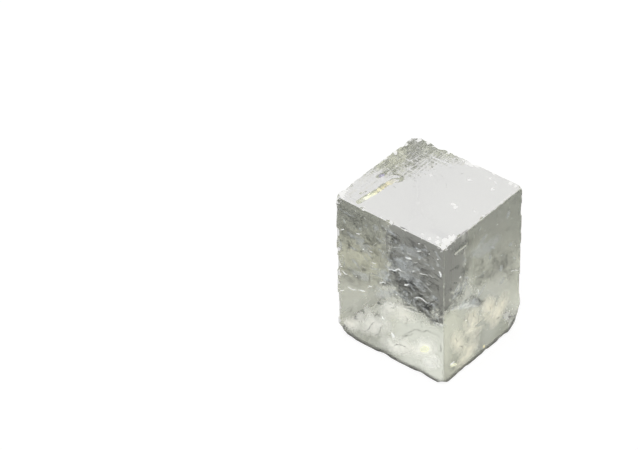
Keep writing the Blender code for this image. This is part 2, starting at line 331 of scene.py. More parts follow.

# Veils: soft, mottled patches of painted shade deeper in, some strong and some faint.
SHADE_VEILS = (
    ("left", ((17.4, 28.6), (14.0, 27.2), (10.4, 27.6), (7.4, 26.8)), 1.8, 5.0, 18),
    ("left", ((16.4, 26.0), (12.4, 24.8), (8.8, 25.0), (5.4, 23.6)), 2.4, 6.2, 18),
    ("left", ((21.6, 22.6), (18.6, 24.0), (16.2, 25.4)), 1.6, 2.6, 18),
    ("left", ((9.4, 23.2), (5.4, 22.0), (1.6, 22.0)), 1.2, 4.8, 12),
    ("left", ((5.8, 20.6), (3.0, 19.6), (0.6, 20.6)), 0.9, 3.2, 12),
    ("left", ((19.0, 39.8), (16.0, 39.0), (13.0, 39.4)), 1.6, 4.4, 12),
)
FAINT_SHADE_VEILS = (
    ("left", ((20.4, 34.6), (15.0, 33.2), (9.0, 33.6)), 1.4, 6.0, 12),
    ("left", ((9.0, 36.4), (5.6, 33.6), (2.6, 29.4)), 1.8, 3.8, 12),
    ("left", ((33.4, 37.4), (31.0, 33.6), (30.2, 28.0)), 1.2, 5.6, 12),
    ("left", ((33.4, 41.4), (28.6, 39.4), (22.6, 39.6)), 1.4, 4.6, 12),
    ("left", ((26.0, 37.4), (22.6, 33.4), (21.0, 28.4)), 1.4, 5.0, 12),
    ("left", ((13.6, 41.0), (8.0, 40.8), (3.0, 39.6)), 1.6, 3.8, 12),
    ("left", ((31.4, 25.0), (27.0, 25.4), (22.6, 27.4)), 1.6, 4.0, 14),
    ("left", ((12.0, 31.4), (7.0, 30.4), (2.0, 31.0)), 1.8, 5.0, 14),
    ("left", ((30.0, 36.4), (26.4, 32.6), (25.0, 29.0)), 1.6, 5.0, 14),
    ("left", ((33.0, 23.4), (29.0, 20.6), (25.0, 18.6)), 1.6, 5.6, 14),
    ("left", ((23.0, 41.6), (21.4, 37.4), (20.0, 33.0)), 1.8, 3.4, 14),
    ("right", ((9.0, 29.0), (6.4, 25.4), (4.2, 21.6)), 1.6, 4.4, 15),
    ("right", ((2.4, 41.0), (8.8, 39.6), (15.6, 40.2)), 2.4, 5.0, 8),
    ("right", ((12.4, 36.4), (9.0, 33.0), (7.4, 29.6)), 2.0, 4.0, 8),
    ("right", ((14.0, 27.0), (20.0, 24.4), (27.0, 23.0)), 2.0, 7.0, 8),
    ("right", ((18.6, 33.6), (19.6, 28.6), (23.0, 24.4)), 2.0, 3.0, 8),
    ("right", ((22.0, 30.0), (26.0, 22.4), (28.6, 14.6)), 1.8, 7.0, 8),
    ("right", ((12.0, 34.0), (14.6, 27.6), (15.4, 21.6)), 1.8, 7.0, 8),
)

# Hairlines: threads of fine cracks through the clear lower part, dark with painted shade.
HAIRLINES = (
    ("left", ((22.2, 10.4), (22.0, 11.6), (21.4, 12.3), (20.8, 12.2), (20.3, 12.0)), 0.6, 0.52, 10),
    ("left", ((22.6, 5.1), (21.8, 5.4), (20.9, 6.4), (20.5, 7.6), (20.1, 8.8), (19.0, 10.4)), 0.6, 0.44, 10),
    (
        "left",
        (
            *((14.6, 6.8), (13.6, 9.0), (11.2, 11.7), (8.9, 13.8), (7.2, 14.2)),
            *((5.2, 15.2), (3.3, 15.7), (1.4, 15.3), (0.4, 14.2)),
        ),
        0.5,
        0.5,
        10,
    ),
    ("left", ((14.0, 7.4), (12.6, 9.6), (10.8, 11.2), (9.4, 12.6)), 0.9, 0.42, 10),
    ("left", ((17.4, 16.1), (16.0, 17.4), (14.4, 18.8)), 0.7, 0.36, 10),
    ("left", ((30.0, 8.0), (28.4, 8.8), (27.6, 10.0), (26.4, 10.4)), 0.7, 0.44, 10),
    ("left", ((12.2, 17.2), (11.6, 15.4), (12.0, 13.8), (11.4, 12.4)), 0.8, 0.38, 10),
    ("left", ((6.4, 18.0), (7.2, 16.8), (6.8, 15.4)), 0.8, 0.38, 10),
    ("left", ((31.6, 7.6), (30.0, 9.2), (29.2, 11.0)), 0.7, 0.42, 10),
    ("left", ((26.0, 4.0), (24.2, 6.2), (23.0, 8.6), (21.8, 9.8)), 0.7, 0.42, 10),
    ("left", ((16.8, 3.6), (15.2, 5.6), (13.0, 6.4), (10.8, 6.2)), 0.7, 0.36, 10),
    ("left", ((1.0, 13.4), (0.8, 11.6), (1.2, 9.8)), 0.5, 0.52, 10),
    ("right", ((9.0, 18.4), (9.8, 16.8), (9.4, 15.2), (10.2, 13.8)), 0.7, 0.46, 10),
    ("right", ((12.4, 16.6), (12.0, 15.0), (12.8, 13.6)), 0.7, 0.42, 10),
    ("right", ((6.2, 9.0), (7.4, 8.0), (8.0, 6.6)), 0.7, 0.44, 10),
    ("right", ((4.4, 13.0), (5.2, 11.6), (5.0, 10.2)), 0.7, 0.44, 10),
    ("right", ((14.2, 13.8), (14.0, 12.0), (14.6, 10.6)), 0.7, 0.44, 10),
    ("right", ((18.4, 14.0), (19.0, 12.6), (18.6, 11.2)), 0.7, 0.38, 10),
    ("top", ((20.0, 22.9), (18.2, 22.4), (16.4, 21.3), (14.2, 19.3)), 0.15, 0.42, 10),
    ("top", ((21.4, 21.8), (19.6, 21.2), (17.4, 20.0)), 0.15, 0.38, 10),
    ("top", ((15.5, 25.7), (14.7, 26.9)), 0.15, 0.52, 10),
)

# Hazes: faint milky patches, with a small glow of painted light.
HAZES = (
    ("left", ((21.6, 25.6), (19.2, 26.6), (16.8, 27.8)), 1.2, 3.0, 15),
    ("left", ((22.6, 17.6), (18.4, 20.6), (14.6, 23.6)), 1.4, 2.8, 20),
    ("left", ((17.0, 32.0), (12.4, 32.8), (7.6, 34.0)), 1.2, 4.6, 15),
    ("left", ((14.6, 29.2), (11.0, 29.8), (6.6, 31.4)), 1.4, 3.2, 15),
    ("left", ((28.6, 35.0), (25.6, 32.6), (23.4, 30.0)), 1.2, 3.4, 15),
    ("left", ((33.4, 31.0), (33.0, 27.4)), 0.6, 2.2, 10),
    ("left", ((16.0, 36.4), (11.0, 38.0), (6.0, 38.2)), 1.2, 3.2, 15),
    ("left", ((31.0, 23.0), (26.0, 22.4), (22.0, 23.6)), 1.4, 3.4, 15),
    ("left", ((22.4, 39.4), (20.6, 41.0)), 1.2, 2.2, 15),
    ("right", ((5.6, 21.6), (11.0, 19.8), (16.0, 16.6)), 1.6, 3.4, 12),
    ("right", ((9.0, 36.4), (16.0, 33.8), (24.0, 33.4)), 2.0, 5.0, 12),
)

# Gleams: painted light, a pale glowing mottling of the lower part where the light gathers, and how warm it is
# at each end.
GLEAMS = (
    ("left", ((30.0, 5.4), (22.0, 8.6), (16.0, 12.4)), 1.6, 7.6, 12, (0.3, 0.1)),
    ("left", ((22.0, 2.6), (15.0, 5.4), (7.6, 8.2)), 1.4, 6.4, 12, (0.1, 0.4)),
    ("left", ((21.6, 13.2), (14.8, 16.6), (8.0, 17.0)), 1.6, 6.0, 12, (0.1, 0.6)),
    ("left", ((10.4, 4.6), (6.0, 9.4), (2.0, 13.0)), 1.6, 7.2, 12, (0.2, 0.2)),
    ("left", ((33.2, 4.6), (26.6, 5.4)), 1.4, 5.2, 12, (0.5, 0.2)),
    ("left", ((7.4, 3.6), (3.6, 6.0), (1.0, 8.6)), 1.2, 5.0, 12, (0.1, 0.1)),
    ("right", ((8.6, 18.6), (11.6, 13.0), (12.0, 6.6)), 1.6, 9.0, 12, (1.0, 0.8)),
    ("right", ((15.0, 17.6), (18.6, 13.0), (19.6, 7.6)), 1.6, 7.6, 12, (1.0, 1.0)),
    ("right", ((3.6, 15.6), (5.6, 10.6), (8.8, 5.6)), 1.4, 6.6, 12, (1.0, 0.8)),
    ("right", ((14.6, 8.0), (9.4, 4.2), (4.4, 2.4)), 1.4, 6.0, 12, (0.8, 1.0)),
    ("right", ((25.6, 15.0), (23.0, 10.0), (19.0, 5.6)), 1.4, 5.6, 12, (1.0, 1.0)),
)

# Gaps thin enough to show colours, which glow as painted light: as a flaw, and its hue at each end.
COLOURED_FLAWS = (
    (
        "top",
        ((28.1, 1.5), (27.8, 4.4), (27.3, 7.9), (27.3, 11.0), (26.9, 13.6), (25.6, 15.0)),
        0.12,
        2.1,
        6,
        (0.0, 0.8),
    ),
    ("top", ((30.0, 4.2), (29.6, 6.2)), 0.12, 0.5, 6, (0.05, 0.15)),
    ("top", ((30.9, 12.4), (30.4, 14.6)), 0.12, 1.3, 6, (1.0, 1.0)),
    ("left", ((7.8, 7.6), (6.2, 8.8), (4.6, 10.4)), 1.0, 2.2, 12, (0.2, 0.2)),
    ("right", ((2.5, 5.2), (4.0, 4.2), (5.6, 3.3)), 1.0, 1.2, 12, (0.2, 0.2)),
    ("right", ((16.0, 2.4), (16.8, 1.6)), 0.4, 1.0, 12, (0.4, 0.4)),
)

# The hues of a thin gap: a number from 0 to 1 and its colour.
HUES = (
    (0.0, (0.97, 0.97, 0.92)),
    (0.2, (0.96, 0.97, 0.80)),
    (0.45, (0.96, 0.90, 0.64)),
    (0.6, (0.96, 0.93, 0.80)),
    (0.8, (0.93, 0.92, 0.97)),
    (1.0, (0.66, 0.62, 0.82)),
)

# Small flaws strewn at random: a face, a window on it, how many, their length and width, and a seed.
STREWN_BRIGHT = (
    ("left", ((1.0, 33.0), (20.0, 42.5)), 70, (0.6, 2.4), (0.12, 0.35), 31),
    ("left", ((3.0, 18.0), (22.0, 38.0)), 60, (0.6, 2.8), (0.12, 0.4), 32),
    ("left", ((2.0, 32.0), (2.0, 15.0)), 16, (0.4, 1.4), (0.1, 0.3), 33),
    ("right", ((1.0, 30.0), (16.0, 42.0)), 24, (0.4, 1.6), (0.1, 0.25), 34),
    ("right", ((2.0, 28.0), (3.0, 16.0)), 18, (0.4, 1.2), (0.1, 0.3), 35),
)
# Dark ones: painted shade.
STREWN_DARK = (
    ("left", ((1.0, 33.0), (18.0, 42.5)), 50, (0.6, 2.4), (0.12, 0.4), 41),
    ("left", ((1.0, 18.0), (20.0, 32.0)), 70, (0.6, 2.8), (0.12, 0.5), 42),
    ("left", ((2.0, 32.0), (3.0, 18.0)), 26, (0.4, 1.8), (0.1, 0.2), 44),
    ("right", ((2.0, 26.0), (5.0, 20.0)), 40, (0.3, 1.2), (0.12, 0.3), 43),
)
STREWN_HAZES = (
    ("left", ((1.0, 33.4), (19.0, 42.5)), 80, (1.5, 5.5), (0.5, 1.4), 61),
    ("left", ((1.0, 20.0), (22.0, 42.0)), 50, (1.5, 5.5), (0.5, 1.4), 62),
    ("right", ((1.0, 30.0), (18.0, 40.0)), 24, (2.0, 6.0), (0.7, 2.0), 73),
)
STREWN_SHADE_VEILS = (
    ("left", ((1.0, 33.4), (20.0, 42.5)), 80, (1.5, 5.5), (0.5, 1.4), 64),
    ("left", ((1.0, 20.0), (22.0, 42.0)), 50, (1.5, 5.5), (0.5, 1.4), 65),
    ("right", ((1.0, 30.0), (20.0, 42.0)), 20, (2.0, 6.0), (0.7, 2.0), 66),
)

# How strongly each group of flaws shows.
STRENGTH = {
    "bright": 0.7,
    "strewn bright": 0.25,
    "dark": 0.7,
    "hairlines": 0.5,
    "strewn dark": 0.4,
    "veils": 0.65,
    "faint veils": 0.3,
    "strewn veils": 0.3,
    "hazes": 0.3,
    "strewn hazes": 0.34,
    "gleams": 0.54,
}

# Each face as its first and second axes and the axis across it, and which way the last leads in.
FACES = {"left": (0, 2, 1, 1.0), "right": (1, 2, 0, 1.0), "top": (0, 1, 2, -1.0)}

# How far along a face's two axes a flaw steps for each millimetre that it lies deeper.
SLANT = {"left": (0.56, -0.66), "right": (0.69, -0.69), "top": (0.53, 0.66)}

# A flaw's grid, as rings along it and points round each: for a drawn one, a hairline, a strewn patch
# and a strewn crack. Then half its thickness.
FLAW_GRID = (18, 12)
HAIR_GRID = (60, 6)
PATCH_GRID = (7, 10)
STREWN_GRID = (4, 6)
FLAW_HALF_THICKNESS = 0.008

# How near to the crystal's edges a flaw's path may come, in millimetres, and how near to its surface
# a flaw may, as a share of the way from the middle.
FLAW_ROOM = 0.3
SURFACE_GAP = 0.004

# How far a flaw's path strays from its smooth curve.
WIGGLE = 0.08

# The stage: how large the floor is, and how far each of its sheets lies under the crystal.
FLOOR_HALF = 3.0
SEEN_GAP = 0.00004
GROUND_GAP = 0.00006
LIT_GAP = 0.00002

# Where the ground's painted shadow ring starts and ends, in millimetres outside the crystal's foot.
SHADOW_RING_REACH = (-1.5, 4.5)

# The soft light: its level, the share of it that the front lacks, and what it loses towards +x and
# gains upwards.
SKY_LEVEL = 0.78
FRONT_LOSS = 0.42
SIDE_LOSS = 0.08
UPWARD_GAIN = 0.06

# The point on the floor that the camera looks at, and how often light is bent or turned back.
AIM = (-0.02672, 0.03298, 0.0)
LIGHT_BOUNCES = 32

# LEFT and RIGHT as angles from +X, for grain that runs along them.
ALONG_RIGHT = (math.pi - FACE_ANGLE) / 2
ALONG_LEFT = (math.pi + FACE_ANGLE) / 2


class CrystalSettings(bpy.types.PropertyGroup):
    """The sizes and colours of the crystal itself."""

    face_angle: bpy.props.FloatProperty(
        name="Face angle",
        description="Obtuse angle of each cleavage face",
        default=FACE_ANGLE,
        subtype="ANGLE",
    )
    wander: bpy.props.FloatProperty(
        name="Ledge wander",
        description="How far a ledge's outline strays from a straight line",
        default=0.12 * MM,
        unit="LENGTH",
    )
    tint: bpy.props.FloatVectorProperty(
        name="Tint",
        description="What is left of white light after a long way through the crystal",
        default=(0.90, 0.955, 0.68),
        size=3,
        subtype="COLOR",
    )
    tint_density: bpy.props.FloatProperty(
        name="Tint density",
        description="How fast the crystal takes on its tint, for each metre of it",
        default=6.0,
    )
    film: bpy.props.FloatProperty(
        name="Film",
        description="How much of the light the parted film under the top turns back",
        default=0.92,
        subtype="FACTOR",
    )
    # Also the colour of the painted glints; it glows a little, which is painted light.
    bruise: bpy.props.FloatVectorProperty(
        name="Bruise",
        description="Colour of the crushed, snow-white mineral along the edges",
        default=(0.96, 0.96, 0.95),
        size=3,
        subtype="COLOR",
    )
    # Painted shade: the gaps between the splinters are painted dark for the shade in them.
    split: bpy.props.FloatVectorProperty(
        name="Splits",
        description="Colour of the shaded gaps between the splinters",
        default=(0.36, 0.37, 0.32),
        size=3,
        subtype="COLOR",
    )
    # Painted shade: a dark coat on the worn base, for the shade where it turns down to the ground.
    grime: bpy.props.FloatVectorProperty(
        name="Grime",
        description="Colour of the grime in the worn base",
        default=(0.085, 0.085, 0.08),
        size=3,
        subtype="COLOR",
    )


class FlawSettings(bpy.types.PropertyGroup):
    """The part-opened cracks inside the crystal."""

    bright: bpy.props.FloatVectorProperty(
        name="Bright cracks",
        description="Colour of the cracks that catch the light",
        default=(0.95, 0.96, 0.95),
        size=3,
        subtype="COLOR",
    )
    # Painted light: the bright cracks glow with light of their own.
    glow: bpy.props.FloatProperty(
        name="Glow of the bright cracks",
        description="The light that reaches them through the crystal, beside what falls on them",
        default=0.5,
    )
    # Painted shade: the colour of the dark cracks, the hairlines and the shade veils.
    dark: bpy.props.FloatVectorProperty(
        name="Dark cracks",
        description="Colour of the cracks that turn the light away",
        default=(0.05, 0.053, 0.052),
        size=3,
        subtype="COLOR",
    )
    haze: bpy.props.FloatVectorProperty(
        name="Haze",
        description="Colour of the faint milky patches",
        default=(0.80, 0.84, 0.86),
        size=3,
        subtype="COLOR",
    )
    # Painted light: the gleams stand in for the light that gathers in the lower part, and glow.
    gleam: bpy.props.FloatVectorProperty(
        name="Gleam",
        description="Colour of the pale mottling in the lower part",
        default=(0.96, 0.965, 0.94),
        size=3,
        subtype="COLOR",
    )
    warm_gleam: bpy.props.FloatVectorProperty(
        name="Warm gleam",
        description="Colour of the warmest part of that mottling",
        default=(0.93, 0.90, 0.77),
        size=3,
        subtype="COLOR",
    )


class StageSettings(bpy.types.PropertyGroup):
    """The floor, the soft light and the camera."""

    floor: bpy.props.FloatVectorProperty(
        name="Floor",
        description="Colour of the pale floor",
        default=(0.26, 0.26, 0.26),
        size=3,
        subtype="COLOR",
    )
    floor_glow: bpy.props.FloatProperty(
        name="Floor glow",
        description="How much light the pale floor adds of its own",
        default=0.84,
    )
    table: bpy.props.FloatProperty(
        name="Table grey",
        description="How light the ground is that the crystal itself mirrors and bends",
        default=0.36,
        subtype="FACTOR",
    )
    # Painted shadow: the grey of the ring round the crystal's foot.
    shade: bpy.props.FloatProperty(
        name="Shade grey",
        description="How light that ground is close round the crystal's foot",
        default=0.216,
        subtype="FACTOR",
    )
    # Painted light: the lighter, glowing ground under the crystal.
    under: bpy.props.FloatProperty(
        name="Ground under the crystal",
        description="How light the ground is where the crystal gathers light on it",
        default=0.85,
        subtype="FACTOR",
    )
    under_glow: bpy.props.FloatProperty(
        name="Light gathered under the crystal",
        description="How much light the ground under the crystal adds of its own",
        default=0.6,
    )
    azimuth: bpy.props.FloatProperty(
        name="Camera azimuth",
        description="Camera direction round the crystal, 0 from the front",
        default=math.radians(-7.0),
        subtype="ANGLE",
    )
    elevation: bpy.props.FloatProperty(
        name="Camera elevation",
        description="Camera height above the horizon",
        default=math.radians(49.6),
        subtype="ANGLE",
    )
    roll: bpy.props.FloatProperty(
        name="Camera roll",
        description="How far the camera is turned about its own line of sight",
        default=math.radians(1.07),
        subtype="ANGLE",
    )
    distance: bpy.props.FloatProperty(
        name="Camera distance",
        description="From the camera to the floor at the middle of the picture",
        default=0.7335,
        unit="LENGTH",
    )
    lens: bpy.props.FloatProperty(
        name="Lens",
        description="Focal length on a 36 mm wide sensor",
        default=142.9,
    )


class Term:
    """A shader socket that can be written into sums: each operator adds its own Math node."""

    def __init__(self, graph, socket):
        self.graph = graph
        self.socket = socket

    def math(self, operation, *others):
        return self.graph.math(operation, self, *others)

    def __add__(self, other):
        return self.math("ADD", other)

    def __sub__(self, other):
        return self.math("SUBTRACT", other)

    def __rsub__(self, other):
        return self.graph.math("SUBTRACT", other, self)

    def __mul__(self, other):
        return self.math("MULTIPLY", other)

    __radd__ = __add__
    __rmul__ = __mul__

    def above(self, start, end):
        """0 below start, 1 above end, and a smooth rise between them."""
        settings = {"interpolation_type": "SMOOTHSTEP"}
        return self.graph.add("ShaderNodeMapRange", settings, {0: self, 1: start, 2: end})


class Graph:
    """A material's or world's node tree."""

    def __init__(self, owner):
        owner.use_nodes = True
        self.tree = owner.node_tree
        self.tree.nodes.clear()

    def add(self, kind, settings=None, sockets=None, output=0):
        """Adds a node: its settings first, then its sockets' values or links. Gives an output."""
        node = self.tree.nodes.new(kind)
        for name, value in (settings or {}).items():
            if name == "stops":
                self.set_stops(node.color_ramp, value)
            else:
                setattr(node, name, value)
        for name, value in (sockets or {}).items():
            if isinstance(value, Term):
                self.tree.links.new(value.socket, node.inputs[name])
            else:
                node.inputs[name].default_value = value
        return Term(self, node.outputs[output]) if len(node.outputs) else None

    @staticmethod
    def set_stops(ramp, stops):
        while len(ramp.elements) < len(stops):
            ramp.elements.new(1.0)
        for element, (position, colour) in zip(ramp.elements, stops):
            element.position = position
            element.color = (*colour, 1.0)

    def math(self, operation, *terms):
        return self.add("ShaderNodeMath", {"operation": operation}, dict(enumerate(terms)))

    def place(self):
        return self.add("ShaderNodeTexCoord", output="Object")

    def attribute(self, name):
        return self.add("ShaderNodeAttribute", {"attribute_name": name}, output="Fac")

    def noise(self, size, detail=2.0, turn=0.0, stretch=(1.0, 1.0, 1.0), seed=0.0):
        """Soft noise in lumps of this size in metres, longer by the stretch and turned about Z."""
        at = self.add(
            "ShaderNodeMapping",
            {"vector_type": "TEXTURE"},
            {"Vector": self.place(), "Location": (seed, 0, 0), "Rotation": (0, 0, turn), "Scale": stretch},
        )
        return self.add("ShaderNodeTexNoise", None, {"Vector": at, "Scale": 1 / size, "Detail": detail})

    def along(self, vector, direction):
        """How far a vector reaches along a direction."""
        settings = {"operation": "DOT_PRODUCT"}
        return self.add("ShaderNodeVectorMath", settings, {0: vector, 1: direction}, output="Value")

    def mix(self, factor, under, over):
        """One colour laid over another."""
        settings = {"data_type": "RGBA"}
        return self.add("ShaderNodeMix", settings, {0: factor, 6: under, 7: over}, output=2)

    def lay(self, factor, under, over):
        """One shader laid over another."""
        return self.add("ShaderNodeMixShader", None, {0: factor, 1: under, 2: over})

    def principled(self, **sockets):
        """The main shader, with its sockets named in small letters joined by _."""
        named = {name.replace("_", " ").title().replace("Ior", "IOR"): v for name, v in sockets.items()}
        return self.add("ShaderNodeBsdfPrincipled", None, named)

    def finish(self, surface, volume=None):
        sockets = {"Surface": surface}
        if volume:
            sockets["Volume"] = volume
        self.add("ShaderNodeOutputMaterial", None, sockets)


def new_material(name):
    material = bpy.data.materials.new(name)
    return material, Graph(material)


def opaque(colour):
    return (*colour, 1.0)


def grey(level):
    return (level, level, level, 1.0)


def link_piece(name, points, faces, material, smooth=True):
    """A mesh object at the origin, from whole arrays of points in metres and of faces."""
    mesh = bpy.data.meshes.new(name)
    mesh.from_pydata(points, [], faces)
    mesh.materials.append(material)
    if smooth:
        mesh.shade_smooth()
        mesh.set_sharp_from_angle(angle=SHARP)
    mesh.validate()
    piece = bpy.data.objects.new(name, mesh)
    bpy.context.scene.collection.objects.link(piece)
    return piece


def paint(piece, name, values):
    """Stores one number for each of the mesh's points, for the material to read."""
    layer = piece.data.attributes.new(name, "FLOAT", "POINT")
    layer.data.foreach_set("value", np.ascontiguousarray(values, dtype=np.float32))


def lattice(angle):
    """The unit directions of LEFT, RIGHT and UP, one to a column.

    LEFT and RIGHT lie level, half the face angle either side of +Y. UP leans towards +Y so that it
    makes the face angle with both.
    """
    half = angle / 2
    lean = -math.cos(angle) / math.cos(half)
    return np.array(
        (
            (-math.sin(half), math.sin(half), 0.0),
            (math.cos(half), math.cos(half), lean),
            (0.0, 0.0, math.sqrt(1.0 - lean * lean)),
        )
    )


def front_corner(axes):
    """The rhomb's front bottom corner, in metres.

    It is where the node's own three nearest faces would meet: the least that its points reach along
    each of LEFT, RIGHT and UP.
    """
    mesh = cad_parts[NODE].data
    points = np.empty(len(mesh.vertices) * 3)
    mesh.vertices.foreach_get("co", points)
    return axes @ (points.reshape(-1, 3) @ np.linalg.inv(axes).T).min(axis=0)


def waves(points, size, seed, count=28):
    """Smooth noise of about unit strength: the sum of cosines along random directions.

    Each wave's length is between two thirds and three halves of the given size.
    """
    draw = np.random.default_rng(seed)
    directions = draw.normal(size=(3, count))
    directions /= np.linalg.norm(directions, axis=0)
    lengths = size * draw.uniform(2 / 3, 3 / 2, count)
    phases = draw.uniform(0.0, 2 * np.pi, count)
    total = np.cos(points @ (directions * 2 * np.pi / lengths) + phases).sum(axis=1)
    return total * math.sqrt(2.0 / count)


def smooth_step(low, high, values):
    share = np.clip((values - low) / (high - low), 0.0, 1.0)
    return share * share * (3.0 - 2.0 * share)


def from_path(points, path):
    """The distance of each point from a line of straight pieces: the least over the pieces."""
    nearest = np.full(len(points), np.inf)
    for start, end in zip(path[:-1], path[1:]):
        way = end - start
        share = np.clip((points - start) @ way / (way @ way), 0.0, 1.0)
        nearest = np.minimum(nearest, np.linalg.norm(points - start - share[:, None] * way, axis=1))
    return nearest


def cube_grid():
    """The six faces of a unit cube as welded grids: (points, quads).

    Along each edge the lines lie at x - a sin(2 pi x) / (2 pi), with a the crowding, so they are
    closest at the cube's own edges. A point is shared by every face that its three line numbers fit.
    """
    steps = [np.linspace(0.0, 1.0, cells + 1) for cells in CELLS]
    lines = [x - a * np.sin(2 * np.pi * x) / (2 * np.pi) for x, a in zip(steps, CROWDING)]
    shape = tuple(cells + 1 for cells in CELLS)
    quads = []
    for axis in range(3):
        first, second = (axis + 1) % 3, (axis + 2) % 3
        for end in (0, 1):
            numbers = [None, None, None]
            numbers[first], numbers[second] = np.meshgrid(
                np.arange(shape[first]), np.arange(shape[second]), indexing="ij"
            )
            numbers[axis] = np.full_like(numbers[first], end * CELLS[axis])
            keys = np.ravel_multi_index(numbers, shape)
            corners = (keys[:-1, :-1], keys[1:, :-1], keys[1:, 1:], keys[:-1, 1:])
            if end:
                corners = corners[::-1]
            quads.append(np.stack(corners, axis=-1).reshape(-1, 4))
    keys, quads = np.unique(np.concatenate(quads), return_inverse=True)
    numbers = np.unravel_index(keys, shape)
    points = np.stack([line[number] for line, number in zip(lines, numbers)], axis=1)
    return points, quads.reshape(-1, 4)


def nicks():
    """Small boxes along the twelve edges, each of a random depth into both faces of its edge."""
    draw = random.Random(NICK_SEED)
    found = []
    for axis in range(3):
        across = [other for other in range(3) if other != axis]
        for ends in ((0, 0), (0, 1), (1, 0), (1, 1)):
            start = NICK_MARGIN + draw.uniform(*NICK_GAP)
            while start < EDGES[axis] - NICK_MARGIN:
                spans = [None, None, None]
                spans[axis] = (start, start + draw.uniform(*NICK_LENGTH))
                for other, end in zip(across, ends):
                    depth = NICK_DEPTH[0] + (NICK_DEPTH[1] - NICK_DEPTH[0]) * draw.random() ** 2
                    if end:
                        spans[other] = (EDGES[other] - depth, EDGES[other] + CLEAR)
                    else:
                        spans[other] = (-CLEAR, depth)
                found.append(spans)
                start = spans[axis][1] + draw.uniform(*NICK_GAP)
    return found


def line_at(right):
    """How far along LEFT the splintered part of the top starts, at places along RIGHT."""
    lefts, rights = zip(*LATH_LINE)
    return np.interp(right, rights, lefts)


def laths(count, length, width, depth, seed):
    """Thin boxes off the top, along LEFT or RIGHT, that start between the line and the far edges."""
    draw = random.Random(seed)
    found = []
    while len(found) < count:
        left = draw.uniform(LATH_LINE[-1][0], LEFT_EDGE)
        right = draw.uniform(0.0, RIGHT_EDGE)
        long = draw.uniform(*length)
        wide = draw.uniform(*width)
        deep = draw.uniform(*depth)
        along_right = draw.random() < 0.7
        if left < line_at(right):
            continue
        far_left = left + (wide if along_right else long)
        far_right = right + (long if along_right else wide)
        found.append(((left, min(far_left, BACK)), (right, min(far_right, FAR)), (UP_EDGE - deep, TOP)))
    return found


def bluntness(places, axes):
    """How blunt the base's edge is worn: bell curves of the distance from each blunt place.

    Height counts for less than a third, so that the bells stand tall.
    """
    real = places * (1.0, 1.0, 0.3) @ axes.T
    blunt = np.zeros(len(places))
    for at, size, share in BLUNT_PLACES:
        blunt += share * np.exp(-((np.linalg.norm(real - axes @ at, axis=1) / size) ** 2))
    return np.minimum(blunt, 1.0)


def reach_wear(points, blunt):
    """How far a ray gets in the worn rhomb, as a share of its way to the sharp one's face.

    With c the ray's end in a cube of half-width 1, this is the p-norm of c to the power of -1, which
    rounds every edge. The power p is lower for the base's edge, and lowest where that is blunt.
    """
    sides = np.abs(2.0 * points - 1.0)
    reach = (sides**EDGE_POWER).sum(axis=1) ** (-1.0 / EDGE_POWER)
    power = BASE_POWER + (BLUNT_POWER - BASE_POWER) * blunt
    low = np.maximum(1.0 - 2.0 * points[:, 2], 0.0) ** power
    across = sides[:, :2].max(axis=1)
    return np.minimum(reach, (across**power + low) ** (-1.0 / power))


def reach_box(rays, strays, low, high):
    """Where each ray from the rhomb's middle enters a box: the last of its three pairs of planes.

    Whether it enters is asked of the stray ray, so that the box's outline wanders.
    """
    middle = np.array(EDGES) / 2
    near = (np.where(rays > 0, low, high) - middle) / rays
    stray_near = (np.where(strays > 0, low, high) - middle) / strays
    stray_far = (np.where(strays > 0, high, low) - middle) / strays
    enters = stray_near.max(axis=1) < stray_far.min(axis=1)
    reach = near.max(axis=1)
    return np.where(enters & (reach > 0), reach, np.inf)


def reach_break(rays, corner, lengths):
    """Where each ray meets the plane through the three points that the break has on the edges.

    With g the sum of the distances from the corner's three faces, each over its own length, the
    plane is g = 1. g is linear along a ray, so the ray meets the plane at (1 - g0) / slope.
    """
    side = 1.0 - 2.0 * np.array(corner)
    lengths = np.array(lengths)
    start = ((np.array(EDGES) / 2) / lengths).sum()
    slope = (rays * side / lengths).sum(axis=1)
    return np.where(slope < 0, (1.0 - start) / np.minimum(slope, -TINY), np.inf)


def reach_scoop(rays, axes, place, length, depth):
    """Where each ray first meets the ball that cut the flake, from the quadratic of ray and sphere.

    The ball's middle stands off the edge along the sum of the two faces' outward normals, and its
    radius is the one that gives the flake its length and depth.
    """
    normals = np.linalg.inv(axes)
    normals /= np.linalg.norm(normals, axis=1)[:, None]
    sides = [(at == edge) * 1.0 - (at == 0.0) * 1.0 for at, edge in zip(place, EDGES)]
    outward = np.array(sides) @ normals
    radius = (length * length / 4 + depth * depth) / (2 * depth)
    ball = axes @ (np.array(place) - np.array(EDGES) / 2)
    ball += outward / np.linalg.norm(outward) * (radius - depth)
    ways = rays @ axes.T
    square = (ways * ways).sum(axis=1)
    along = ways @ ball
    under_root = along * along - square * (ball @ ball - radius * radius)
    first = (along - np.sqrt(np.maximum(under_root, 0.0))) / square
    return np.where((under_root > 0) & (first > 0), first, np.inf)


def relief(places, height, size, seed):
    """A gentle swell in millimetres: noise of the given height and size, sunk below the face."""
    return height * (1.5 + 0.5 * waves(places, size, seed) + 0.2 * waves(places, size / 3, seed + 20))


